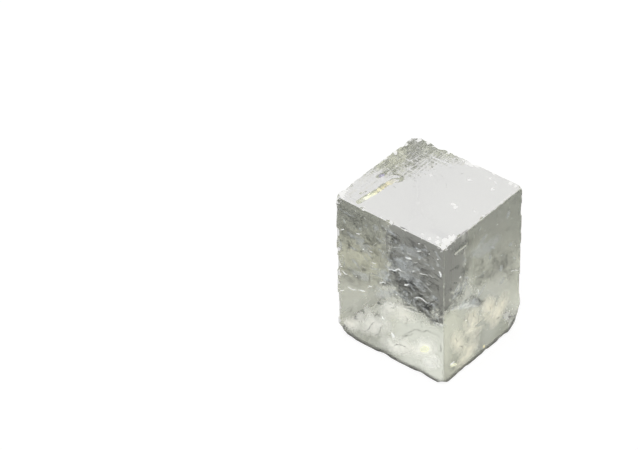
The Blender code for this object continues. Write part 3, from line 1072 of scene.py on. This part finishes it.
def find_reach(points, blunt, settings):
    """How far the ray through each point of the unit cube gets, as a share of its way to the cube.

    It is the least of all the reaches: wear, ledges, nicks, laths, breaks and scoops. Two masks say
    where a ledge, nick or lath came first, and where a break or a scoop did.
    """
    rays = (points - 0.5) * EDGES
    rays = np.where(np.abs(rays) < TINY, TINY, rays)
    places = points * EDGES
    wander = settings.wander / MM
    stray = np.stack([waves(places, 1.1, seed) for seed in (1, 2, 3)], axis=1) * wander
    axes = lattice(settings.face_angle)

    worn = reach_wear(points, blunt)
    reach = worn.copy()
    for spans in (*LEDGES, *nicks(), *laths(**LATHS)):
        low, high = np.array(spans).T
        reach = np.minimum(reach, reach_box(rays, rays + stray, low, high))
    ledged = reach < worn - CUT_SHARE
    for spans in laths(**SLIVERS):
        low, high = np.array(spans).T
        reach = np.minimum(reach, reach_box(rays, rays + 0.4 * stray, low, high))
    coarse, fine = BREAK_ROUGHNESS
    rough = 1.0 + coarse * waves(places, 1.6, 4) + fine * waves(places, 0.55, 5)
    whole = reach.copy()
    for corner, lengths in BREAKS:
        reach = np.minimum(reach, reach_break(rays, corner, lengths) * rough)
    for place, length, depth in SCOOPS:
        reach = np.minimum(reach, reach_scoop(rays, axes, place, length, depth) * rough)
    return reach, ledged, reach < whole - CUT_SHARE


def crystal_surface(settings):
    """The crystal's points in millimetres from its front bottom corner, its quads and its masks.

    Each point lies on its ray at the ray's reach. The splintered back of the top and the hidden faces
    then sink a little more.
    """
    points, quads = cube_grid()
    edges = np.array(EDGES)
    places = points * edges
    axes = lattice(settings.face_angle)
    blunt = bluntness(places, axes)
    reach, ledged, broken = find_reach(points, blunt, settings)

    past_line = places[:, 0] - line_at(places[:, 1])
    on_top = points[:, 2] > FAR_FACE
    splinters = on_top * smooth_step(-1.5, 3.0, past_line + 1.2 * waves(places, 3.0, 6))
    grain = waves(places * (1.0, 0.22, 1.0), 0.9, 7) + 0.6 * waves(places * (0.5, 0.3, 1.0), 0.5, 8)
    reach -= splinters * FURROW * (np.maximum(grain, -0.4) + 0.4) / edges[2]
    reach -= (points[:, 1] < TINY) * relief(places, *LEFT_SWELL) / edges[1]
    reach -= (points[:, 0] < TINY) * relief(places, *RIGHT_SWELL) / edges[0]
    hidden = (points[:, :2] > FAR_FACE).any(axis=1)
    reach *= 1.0 - HIDDEN_SINK * hidden * (1 + waves(places, 4.0, 9) * 0.5)

    masks = {
        "film": film_mask(places, axes) * on_top * ~broken,
        "bruise": bruise_and_glint_mask(places, axes),
        "grime": base_shade_mask(places, blunt),
        "frost": frost_mask(places),
        "ledged": ledged * ~broken,
        "broken": broken * 1.0,
        "splinters": splinters,
    }
    return edges * (0.5 + (points - 0.5) * reach[:, None]) @ axes.T, quads, masks


def film_mask(places, axes):
    """Where a parted film lies under the top: whole short of its line, then ever less of it.

    It is missing over each coloured gap under the top, and thinner over each dark crack there.
    """
    lefts, rights = zip(*FILM_LINE)
    line = np.interp(places[:, 1], rights, lefts)
    past = places[:, 0] - line + 0.7 * waves(places, 1.6, 10)
    mask = 1.0 - 0.42 * smooth_step(-1.0, 1.0, past) - 0.28 * smooth_step(1.0, 11.0, past)
    real = places @ axes.T
    for face, path, _, width, _, *hues in (*DARK_FLAWS, *HAIRLINES, *COLOURED_FLAWS):
        if face == "top":
            line = np.array([(left, right, UP_EDGE) for left, right in path]) @ axes.T
            gap = smooth_step(0.2, 0.55, from_path(real, line) / width)
            mask = mask * (gap if hues else 0.5 + 0.5 * gap)
    return mask


def bruise_and_glint_mask(places, axes):
    """Where the mineral is crushed white, along the top's edges, along the upright ones and in spots, and
    where glints are painted in spots on the top.

    Each is 1 near its line or place and falls to 0 at its own width, which noise widens and narrows.
    """
    edges = np.array(EDGES)
    real = places @ axes.T
    sides = np.minimum(places, edges - places)
    rim = np.maximum(edges[2] - places[:, 2], np.minimum(sides[:, 0], sides[:, 1]))
    mask = 1.0 - smooth_step(0.6, 1.2, rim / (TOP_LINE * (0.5 + 1.6 * np.maximum(waves(real, 1.3, 15), 0.0))))
    patches = 0.25 + np.maximum(waves(real, 2.2, 16), 0.0)
    for (left_end, right_end), width in UPRIGHT_LINES.items():
        corner = np.array((left_end * LEFT_EDGE, right_end * RIGHT_EDGE))
        away = np.abs(places[:, :2] - corner).max(axis=1)
        mask = np.maximum(mask, 1.0 - smooth_step(0.5, 1.2, away / (width * patches)))
    ragged = 1.0 + 0.25 * waves(real, 0.8, 18)
    for place, size in BRUISES_AND_GLINTS:
        away = np.linalg.norm(real - axes @ place, axis=1)
        mask = np.maximum(mask, 1.0 - smooth_step(0.55, 1.05, away / size * ragged))
    return mask


def base_shade_mask(places, blunt):
    """Painted shade on the base's two front edges: 1 at the ground, falling to 0 at a height.

    The height grows from the lower to the higher one with the edge's bluntness.
    """
    low, high = BASE_SHADE_HEIGHTS
    height = np.maximum(low + (high - low) * blunt + 0.08 * waves(places, 1.6, 17), 0.02)
    front = 1.0 - smooth_step(0.5, 3.0, np.minimum(places[:, 0], places[:, 1]))
    return front * np.clip(1.0 - places[:, 2] / height, 0.0, 1.0)


def frost_mask(places):
    """Roughness of the hidden faces, more near their edges, and a small share of it on the base."""
    edges = np.array(EDGES)
    gaps = np.stack((edges[0] - places[:, 0], edges[1] - places[:, 1], places[:, 2]), axis=1)
    gaps.sort(axis=1)
    hidden = gaps[:, 0] < TINY
    share = np.where(places[:, 2] < TINY, BASE_FROST, 1.0)
    return hidden * share * (FROST + EDGE_FROST * (1.0 - smooth_step(0.0, FROST_REACH, gaps[:, 1])))


def clear_calcite(settings):
    """Clear, faintly greenish-grey mineral, with snow-white bruises where its edges are crushed.

    The bruise shows where its mask and fine noise together are high; some of its spots are painted glints,
    and it glows a little, which is painted light. The painted shade on the worn base is its mask, made uneven
    by the same noise. The splintered part of the top has painted white glints along LEFT and RIGHT, and
    painted shade in the gaps between the splinters.
    """
    material, graph = new_material("clear_calcite")
    broken = graph.attribute("broken")
    splinters = graph.attribute("splinters")
    specks = graph.noise(0.0009, 4.0)
    grain = graph.noise(0.00042, 3.0, ALONG_RIGHT, (9.0, 1.0, 1.0), 5.0)
    crossing = graph.noise(0.00042, 3.0, ALONG_LEFT, (9.0, 1.0, 1.0), 8.0)
    strokes = grain.math("MAXIMUM", crossing)
    scuffs = graph.noise(0.0006, 3.0, 0.0, (1.0, 1.0, 0.4), 7.0)
    bump_height = 0.4 * broken * specks + 0.7 * splinters * strokes + 0.05 * scuffs
    bump = graph.add(
        "ShaderNodeBump", None, {"Strength": 0.6, "Distance": 0.0002, "Height": bump_height}
    )
    glass = graph.principled(
        base_color=WHITE,
        roughness=0.02 + 0.1 * graph.attribute("ledged") + 0.25 * broken + graph.attribute("frost"),
        ior=1.65,
        transmission_weight=1.0,
        normal=bump,
    )
    silver = graph.principled(base_color=grey(0.94), roughness=0.08, metallic=1.0)
    inside = graph.add("ShaderNodeNewGeometry", output="Backfacing")
    filmed = (graph.attribute("film") + 1.2 * (strokes - 0.55)).above(0.3, 0.66)
    splinter_shade_coat = graph.principled(base_color=opaque(settings.split), roughness=0.5, normal=bump)
    base_shade_coat = graph.principled(base_color=opaque(settings.grime), roughness=0.7)
    # The white of the crushed bruises and of the painted glints, with a small glow of painted light.
    snow_and_glint = graph.principled(
        base_color=opaque(settings.bruise),
        roughness=0.55,
        emission_color=opaque(settings.bruise),
        emission_strength=0.2,
        normal=bump,
    )
    gaps = graph.noise(0.001, 3.0, ALONG_RIGHT, (3.0, 1.0, 1.0), 3.0)
    # Painted shade in the gaps between the splinters.
    shader = graph.lay(0.55 * splinters * gaps.above(0.42, 0.58), glass, splinter_shade_coat)
    shader = graph.lay(settings.film * filmed * (1.0 - inside), shader, silver)
    # Painted shade laid over the worn base.
    shader = graph.lay(graph.attribute("grime") * (0.55 + 0.5 * specks), shader, base_shade_coat)
    bruise_and_glint_cover = (graph.attribute("bruise") + 0.9 * specks).above(0.78, 1.1)
    # Painted glints: white flecks along the splinters' grain.
    splinter_glints = splinters * (gaps.above(0.55, 0.62) * strokes.above(0.62, 0.7))
    shader = graph.lay(bruise_and_glint_cover + 0.9 * splinter_glints * (1.0 - bruise_and_glint_cover), shader, snow_and_glint)
    tint = graph.add(
        "ShaderNodeVolumeAbsorption",
        None,
        {"Color": opaque(settings.tint), "Density": settings.tint_density},
    )
    graph.finish(shader, tint)
    return material


def build_crystal(settings):
    axes = lattice(settings.face_angle)
    points, quads, masks = crystal_surface(settings)
    crystal = link_piece("clear_rhomb", points * MM + front_corner(axes), quads, clear_calcite(settings))
    for name, values in masks.items():
        paint(crystal, name, values)
    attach(crystal, BODY)
    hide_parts(NODE)


def smooth_path(places, count):
    """Evenly shared points on the Catmull-Rom curve through the places.

    Between two places it is the cubic whose slope at each is half the way between its neighbours.
    """
    places = np.array(places, dtype=float)
    before, after = 2 * places[0] - places[1], 2 * places[-1] - places[-2]
    ends = np.vstack((before, places, after))
    share = np.linspace(0.0, len(places) - 1.0, count)
    piece = np.minimum(share.astype(int), len(places) - 2)
    t = (share - piece)[:, None]
    a, b, c, d = (ends[piece + step] for step in range(4))
    return 0.5 * (2 * b + (c - a) * t + (2 * a - 5 * b + 4 * c - d) * t**2 + (3 * (b - c) + d - a) * t**3)


def flaw_points(axes, flaw, rings, around):
    """One flaw's points: a flat ellipse carried along a smooth path under a face, closed at two poles.

    With t from 0 to 1 along the path, the ellipse's half-width is the flaw's, times the root of
    1 - (2t - 1) squared, and a little noise. It dips into the crystal from the face by the flaw's
    angle. Where the crystal's edge is near, it is no wider than its room there. Its fade is the product
    of 1 less the square of how far off its middle a point lies, along and across: 1 in the middle and
    0 at its rim.
    """
    face, path, depth, width, dip, *_ = flaw
    first, second, across, inward = FACES[face]
    flat = smooth_path(path, rings + 2)
    spots = np.pad(flat, ((0, 0), (0, 1)))
    flat += WIGGLE * np.stack([waves(spots, 0.9, seed) for seed in (52, 53)], axis=1)
    places = np.zeros((rings + 2, 3))
    places[:, first] = flat[:, 0] + SLANT[face][0] * depth
    places[:, second] = flat[:, 1] + SLANT[face][1] * depth
    places[:, across] = depth if inward > 0 else EDGES[across] - depth
    sides = np.array(EDGES)
    places = np.clip(places, np.minimum(FLAW_ROOM, depth), sides - np.minimum(FLAW_ROOM, depth))
    room = np.minimum(places, sides - places)[:, [first, second]].min(axis=1)
    line = places @ axes.T
    way = np.gradient(line, axis=0)
    way /= np.linalg.norm(way, axis=1)[:, None]
    normal = np.cross(axes[:, first], axes[:, second])
    normal /= np.linalg.norm(normal) * np.sign(normal @ axes[:, across]) * inward
    over = np.cross(way, normal)
    over *= np.sign(over @ axes[:, second])[:, None] / np.linalg.norm(over, axis=1)[:, None]
    over = over * math.cos(math.radians(dip)) + normal * math.sin(math.radians(dip))
    upright = np.cross(way, over)
    t = np.linspace(0.0, 1.0, rings + 2)[1:-1]
    taper = np.sqrt(1.0 - (2.0 * t - 1.0) ** 2)
    half = 0.5 * width * taper * (1.0 + 0.1 * waves(line[1:-1], 0.9, 51))
    half = np.minimum(half, 0.9 * room[1:-1])
    turn = np.linspace(0.0, 2 * np.pi, around, endpoint=False)
    wide, thick = np.cos(turn)[None, :, None], np.sin(turn)[None, :, None]
    body = line[1:-1, None] + over[1:-1, None] * half[:, None, None] * wide
    body = body + upright[1:-1, None] * (FLAW_HALF_THICKNESS * taper)[:, None, None] * thick
    fade = np.outer(taper, np.sin(turn)) ** 2
    points = np.vstack((line[:1], body.reshape(-1, 3), line[-1:]))
    return points, np.concatenate(((0.0,), fade.ravel(), (0.0,)))


def flaw_faces(rings, around):
    """The quads between one flaw's rings and the triangles at its two poles."""
    numbers = 1 + np.arange(rings * around).reshape(rings, around)
    turned = np.roll(numbers, -1, axis=1)
    quads = np.stack((numbers[:-1], turned[:-1], turned[1:], numbers[1:]), axis=-1).reshape(-1, 4)
    last = rings * around + 1
    start = [(0, b, a) for a, b in zip(numbers[0].tolist(), turned[0].tolist())]
    end = [(last, a, b) for a, b in zip(numbers[-1].tolist(), turned[-1].tolist())]
    return [tuple(quad) for quad in quads.tolist()] + start + end


def strewn(groups):
    """Small flaws at random places in each group's window, each lying its own way."""
    found = []
    for face, ((low, high), (bottom, top)), count, lengths, widths, seed in groups:
        draw = random.Random(seed)
        for _ in range(count):
            place = draw.uniform(low, high), draw.uniform(bottom, top)
            length = draw.uniform(*lengths) * draw.uniform(0.5, 1.0)
            turn = math.radians(draw.gauss(10.0, 38.0))
            step = 0.5 * length * math.cos(turn), 0.5 * length * math.sin(turn)
            path = ((place[0] - step[0], place[1] - step[1]), (place[0] + step[0], place[1] + step[1]))
            found.append((face, path, draw.uniform(0.3, 3.0), draw.uniform(*widths), draw.uniform(10, 70)))
    return found


def draw_inside(points, starts, settings):
    """The flaws' points in millimetres, each flaw drawn towards the crystal's middle until it is inside.

    starts holds the number of each flaw's first point. With s a point's own share of the way from
    the middle to the sharp rhomb's face, a flaw is scaled by the least of (reach - gap) / s over its
    points, or by 1 where that is less.
    """
    axes = lattice(settings.face_angle)
    ways = points @ np.linalg.inv(axes).T / EDGES - 0.5
    shares = 2.0 * np.abs(ways).max(axis=1)
    spots = 0.5 + ways / shares[:, None]
    reach, *_ = find_reach(spots, bluntness(spots * EDGES, axes), settings)
    scales = np.minimum.reduceat((reach - SURFACE_GAP) / shares, starts)
    scales = np.repeat(np.minimum(scales, 1.0), np.diff((*starts, len(points))))
    return (0.5 + ways * scales[:, None]) * EDGES @ axes.T


def build_flaws(name, crystal, groups, material):
    """One piece of many flaws: each group of them has its own grid."""
    axes = lattice(crystal.face_angle)
    points, fades, strengths, hues, faces, starts = [], [], [], [], [], []
    count = 0
    for flaws, (rings, around), strength in groups:
        pattern = flaw_faces(rings, around)
        for flaw in flaws:
            places, fade = flaw_points(axes, flaw, rings, around)
            points.append(places)
            fades.append(fade)
            strengths.append(np.full(len(fade), strength))
            hue = np.linspace(*(flaw[5] if len(flaw) > 5 else (0.0, 0.0)), rings)
            hues.append(np.concatenate((hue[:1], np.repeat(hue, around), hue[-1:])))
            faces += [tuple(number + count for number in face) for face in pattern]
            starts.append(count)
            count += len(places)
    points = draw_inside(np.concatenate(points), starts, crystal)
    piece = link_piece(name, points * MM + front_corner(axes), faces, material)
    paint(piece, "fade", np.concatenate(fades))
    paint(piece, "strength", np.concatenate(strengths))
    paint(piece, "hue", np.concatenate(hues))
    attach(piece, BODY)


def bright_cracks(settings):
    """White, where the flaw's fade and fine threads of noise are high together, with a glow of painted light.
    """
    material, graph = new_material("bright_cracks")
    threads = graph.noise(0.0006, 4.0, seed=2.0)
    shader = graph.principled(
        base_color=opaque(settings.bright),
        roughness=0.4,
        emission_color=opaque(settings.bright),
        emission_strength=settings.glow,
        alpha=graph.attribute("strength") * (graph.attribute("fade") + 1.2 * threads).above(0.7, 1.3),
    )
    graph.finish(shader)
    return material


def dark_cracks(settings, name, size, cover):
    """Dark, as painted shade, by the product of the flaw's fade, mottled noise and finer streaks that run
    along LEFT.

    The mottled noise rises from 0 to 1 over the cover's range.
    """
    material, graph = new_material(name)
    mottle = graph.noise(size, 4.0, seed=4.0)
    streaks = graph.noise(size / 3, 4.0, ALONG_LEFT, (4.0, 1.0, 1.0), 11.0)
    shader = graph.principled(
        base_color=opaque(settings.dark),
        roughness=0.6,
        alpha=graph.attribute("strength")
        * graph.attribute("fade")
        * (mottle.above(*cover) * (0.3 + 0.7 * streaks.above(0.42, 0.58))),
    )
    graph.finish(shader)
    return material


def soft_haze(name, cool, warm, size, span, glow):
    """A faint veil, thickest where its fade and soft noise are high together, warmer with its hue; its glow
    is painted light.

    The noise counts from the span's lower value, where the veil is gone, to its upper one.
    """
    material, graph = new_material(name)
    clouds = graph.noise(size, 3.0, seed=6.0)
    colour = graph.mix(graph.attribute("hue"), opaque(cool), opaque(warm))
    shader = graph.principled(
        base_color=colour,
        roughness=0.8,
        emission_color=colour,
        emission_strength=glow,
        alpha=graph.attribute("strength") * graph.attribute("fade") * clouds.above(*span),
    )
    graph.finish(shader)
    return material


def thin_film():
    """The colours of a gap as thin as a soap film, glowing as painted light: one for each hue, shifted a
    little by noise.
    """
    material, graph = new_material("thin_film")
    hue = graph.attribute("hue") + 0.25 * (graph.noise(0.0012, 2.0, seed=9.0) - 0.5)
    colour = graph.add("ShaderNodeValToRGB", {"stops": HUES}, {0: hue})
    shader = graph.principled(
        base_color=colour,
        roughness=0.3,
        emission_color=colour,
        emission_strength=0.45,
        alpha=0.9 * (graph.attribute("fade") + 0.6 * graph.noise(0.0008, 3.0, seed=3.0)).above(0.3, 0.9),
    )
    graph.finish(shader)
    return material


def foot_shape(axes):
    """For a level place in metres: the sums that give its LEFT and RIGHT in millimetres from the corner."""
    back = np.linalg.inv(axes)[:2]
    back = back / MM
    corner = front_corner(axes)
    return [((row[0], row[1], 0.0), -float(row[:2] @ corner[:2])) for row in back]


def build_floor(settings, crystal):
    """Level sheets: the pale floor that is seen, and the ground that the crystal mirrors and bends.

    The ground is grey, with a painted shadow round the crystal's foot and a painted pool of light under the
    crystal.
    """
    axes = lattice(crystal.face_angle)
    level = CAD_BOX[0][2]
    square = np.array(((-1.0, -1.0, 0.0), (1.0, -1.0, 0.0), (1.0, 1.0, 0.0), (-1.0, 1.0, 0.0)))
    sheets = (
        (square * FLOOR_HALF, SEEN_GAP, pale_floor(settings), True),
        (square * FLOOR_HALF, GROUND_GAP, grey_ground(settings, axes), False),
        (base_outline(axes), LIT_GAP, lit_ground(settings), False),
    )
    for outline, gap, material, seen in sheets:
        corners = outline + (0.0, 0.0, level - gap)
        floor = link_piece(material.name, corners, np.array([[0, 1, 2, 3]]), material, smooth=False)
        floor.visible_camera = seen
        for ray in ("diffuse", "glossy", "transmission", "shadow"):
            setattr(floor, "visible_" + ray, not seen)


def base_outline(axes):
    """The crystal's own base, a little inside its edges, as a level sheet's four corners."""
    low, left, right = 1.0, LEFT_EDGE - 1.0, RIGHT_EDGE - 1.0
    ends = np.array(((low, low, 0.0), (low, right, 0.0), (left, right, 0.0), (left, low, 0.0)))
    return (ends @ axes.T * MM + front_corner(axes)) * (1.0, 1.0, 0.0)


def matt(graph, colour, glow):
    shader = graph.principled(
        base_color=colour,
        roughness=1.0,
        specular_ior_level=0.0,
        emission_color=WHITE,
        emission_strength=glow,
    )
    graph.finish(shader)


def pale_floor(settings):
    material, graph = new_material("pale_floor")
    matt(graph, opaque(settings.floor), settings.floor_glow)
    return material


def lit_ground(settings):
    # A painted pool of light: the ground under the crystal is lighter and glows for the light that the
    # crystal gathers there.
    material, graph = new_material("lit_ground")
    matt(graph, grey(settings.under), settings.under_glow)
    return material


def grey_ground(settings, axes):
    """Grey, with a painted shadow close round the crystal's foot.

    The distance outside the foot is the largest of the distances past its four sides.
    """
    material, graph = new_material("grey_ground")
    place = graph.place()
    left, right = (graph.along(place, row) + start for row, start in foot_shape(axes))
    outside = (left - LEFT_EDGE).math("MAXIMUM", 0.0 - left)
    outside = outside.math("MAXIMUM", right - RIGHT_EDGE).math("MAXIMUM", 0.0 - right)
    clouds = graph.noise(0.004, 3.0, seed=1.0) - 0.5
    painted_shadow_ring = (outside + 4.0 * clouds).above(*SHADOW_RING_REACH)
    colour = graph.mix(painted_shadow_ring, grey(settings.shade), grey(settings.table))
    matt(graph, colour, 0.0)
    return material


def build_sky():
    """Soft studio light from all round: brightest behind and overhead, dimmer from the front.

    With x, y and z the direction's own, the light is a high level less a share that rises smoothly
    towards the front, less a little towards +x, plus a little upwards. It is warmer towards +x.
    """
    world = bpy.data.worlds.new("soft_studio")
    bpy.context.scene.world = world
    graph = Graph(world)
    way = graph.add("ShaderNodeTexCoord", output="Generated")
    side, back, height = (graph.along(way, row) for row in np.eye(3))
    front = (0.0 - back).above(0.25, 0.75)
    light = SKY_LEVEL * (1.0 - FRONT_LOSS * front) - SIDE_LOSS * side + UPWARD_GAIN * height
    colour = graph.mix(side.above(-0.2, 1.0), WHITE, (1.0, 0.985, 0.92, 1.0))
    background = graph.add("ShaderNodeBackground", None, {0: colour, 1: light})
    graph.add("ShaderNodeOutputWorld", None, {0: background})


def build_camera(settings):
    """The camera looks at a point on the floor, from the stage's azimuth and elevation."""
    level = math.cos(settings.elevation)
    back = Vector(
        (
            math.sin(settings.azimuth) * level,
            -math.cos(settings.azimuth) * level,
            math.sin(settings.elevation),
        )
    )
    data = bpy.data.cameras.new("camera")
    data.lens = settings.lens
    data.sensor_width = 36.0
    data.clip_start = 0.01
    camera = bpy.data.objects.new("camera", data)
    bpy.context.scene.collection.objects.link(camera)
    camera.rotation_mode = "QUATERNION"
    camera.rotation_quaternion = (-back).to_track_quat("-Z", "Y") @ Quaternion((0, 0, 1), settings.roll)
    camera.location = Vector(AIM) + back * settings.distance
    bpy.context.scene.camera = camera


class CALCITE_OT_crystal(bpy.types.Operator):
    """Builds the clear rhomb with its ledges, breaks, scoops and bruises"""

    bl_idname = "calcite.crystal"
    bl_label = "Clear rhomb"

    def execute(self, context):
        build_crystal(context.scene.calcite_crystal)
        return {"FINISHED"}


class CALCITE_OT_bright_cracks(bpy.types.Operator):
    """Builds the small cracks that catch the light"""

    bl_idname = "calcite.bright_cracks"
    bl_label = "Bright cracks"

    def execute(self, context):
        scene = context.scene
        groups = (
            (BRIGHT_FLAWS, FLAW_GRID, STRENGTH["bright"]),
            (strewn(STREWN_BRIGHT), STREWN_GRID, STRENGTH["strewn bright"]),
        )
        build_flaws("bright_cracks", scene.calcite_crystal, groups, bright_cracks(scene.calcite_flaws))
        return {"FINISHED"}


class CALCITE_OT_dark_cracks(bpy.types.Operator):
    """Builds the small cracks and the fine threads that turn the light away"""

    bl_idname = "calcite.dark_cracks"
    bl_label = "Dark cracks"

    def execute(self, context):
        scene = context.scene
        groups = (
            (DARK_FLAWS, FLAW_GRID, STRENGTH["dark"]),
            (HAIRLINES, HAIR_GRID, STRENGTH["hairlines"]),
            (strewn(STREWN_DARK), STREWN_GRID, STRENGTH["strewn dark"]),
        )
        material = dark_cracks(scene.calcite_flaws, "dark_cracks", 0.0008, (0.2, 0.5))
        build_flaws("dark_cracks", scene.calcite_crystal, groups, material)
        return {"FINISHED"}


class CALCITE_OT_veils(bpy.types.Operator):
    """Builds the soft veils of painted shade deeper in"""

    bl_idname = "calcite.veils"
    bl_label = "Dark veils"

    def execute(self, context):
        scene = context.scene
        groups = (
            (SHADE_VEILS, FLAW_GRID, STRENGTH["veils"]),
            (FAINT_SHADE_VEILS, FLAW_GRID, STRENGTH["faint veils"]),
            (strewn(STREWN_SHADE_VEILS), PATCH_GRID, STRENGTH["strewn veils"]),
        )
        material = dark_cracks(scene.calcite_flaws, "painted_shade_veils", 0.0019, (0.26, 0.56))
        build_flaws("painted_shade_veils", scene.calcite_crystal, groups, material)
        return {"FINISHED"}


class CALCITE_OT_hazes(bpy.types.Operator):
    """Builds the faint milky patches and the painted light of the lower part's pale mottling"""

    bl_idname = "calcite.hazes"
    bl_label = "Milky hazes"

    def execute(self, context):
        scene = context.scene
        colours = scene.calcite_flaws
        groups = (
            (HAZES, FLAW_GRID, STRENGTH["hazes"]),
            (strewn(STREWN_HAZES), PATCH_GRID, STRENGTH["strewn hazes"]),
        )
        material = soft_haze("milky_haze", colours.haze, colours.haze, 0.0016, (0.12, 0.62), 0.25)
        build_flaws("milky_hazes", scene.calcite_crystal, groups, material)
        groups = ((GLEAMS, FLAW_GRID, STRENGTH["gleams"]),)
        material = soft_haze("pale_gleam", colours.gleam, colours.warm_gleam, 0.003, (0.05, 0.66), 0.48)
        build_flaws("pale_gleams", scene.calcite_crystal, groups, material)
        return {"FINISHED"}


class CALCITE_OT_coloured_cracks(bpy.types.Operator):
    """Builds the gaps that are thin enough to show colours"""

    bl_idname = "calcite.coloured_cracks"
    bl_label = "Coloured cracks"

    def execute(self, context):
        scene = context.scene
        groups = ((COLOURED_FLAWS, FLAW_GRID, 1.0),)
        build_flaws("coloured_cracks", scene.calcite_crystal, groups, thin_film())
        return {"FINISHED"}


class CALCITE_OT_stage(bpy.types.Operator):
    """Builds the floor, the soft light and the camera"""

    bl_idname = "calcite.stage"
    bl_label = "Stage"

    def execute(self, context):
        scene = context.scene
        build_floor(scene.calcite_stage, scene.calcite_crystal)
        build_sky()
        build_camera(scene.calcite_stage)
        scene.view_settings.view_transform = "Standard"
        for kind in ("max", "transmission", "glossy"):
            setattr(scene.cycles, kind + "_bounces", LIGHT_BOUNCES)
        scene.cycles.transparent_max_bounces = 4 * LIGHT_BOUNCES
        return {"FINISHED"}


class CALCITE_PT_panel(bpy.types.Panel):
    """The add-on's panel in the sidebar"""

    bl_idname = "CALCITE_PT_panel"
    bl_label = "Optical calcite"
    bl_space_type = "VIEW_3D"
    bl_region_type = "UI"
    bl_category = "Calcite"

    def draw(self, context):
        layout = self.layout
        for group in GROUPS:
            settings = getattr(context.scene, group)
            for name in settings.bl_rna.properties.keys():
                if name not in ("rna_type", "name"):
                    layout.prop(settings, name)
        for operator in OPERATORS:
            layout.operator(operator.bl_idname)


GROUPS = {
    "calcite_crystal": CrystalSettings,
    "calcite_flaws": FlawSettings,
    "calcite_stage": StageSettings,
}
OPERATORS = (
    CALCITE_OT_crystal,
    CALCITE_OT_bright_cracks,
    CALCITE_OT_dark_cracks,
    CALCITE_OT_veils,
    CALCITE_OT_hazes,
    CALCITE_OT_coloured_cracks,
    CALCITE_OT_stage,
)
CLASSES = (*GROUPS.values(), *OPERATORS, CALCITE_PT_panel)


def register():
    for made in CLASSES:
        bpy.utils.register_class(made)
    for name, group in GROUPS.items():
        setattr(bpy.types.Scene, name, bpy.props.PointerProperty(type=group))


def unregister():
    for name in GROUPS:
        delattr(bpy.types.Scene, name)
    for made in reversed(CLASSES):
        bpy.utils.unregister_class(made)


def main():
    register()
    bpy.ops.calcite.crystal()
    bpy.ops.calcite.bright_cracks()
    bpy.ops.calcite.dark_cracks()
    bpy.ops.calcite.veils()
    bpy.ops.calcite.hazes()
    bpy.ops.calcite.coloured_cracks()
    bpy.ops.calcite.stage()


if __name__ == "__main__":
    main()
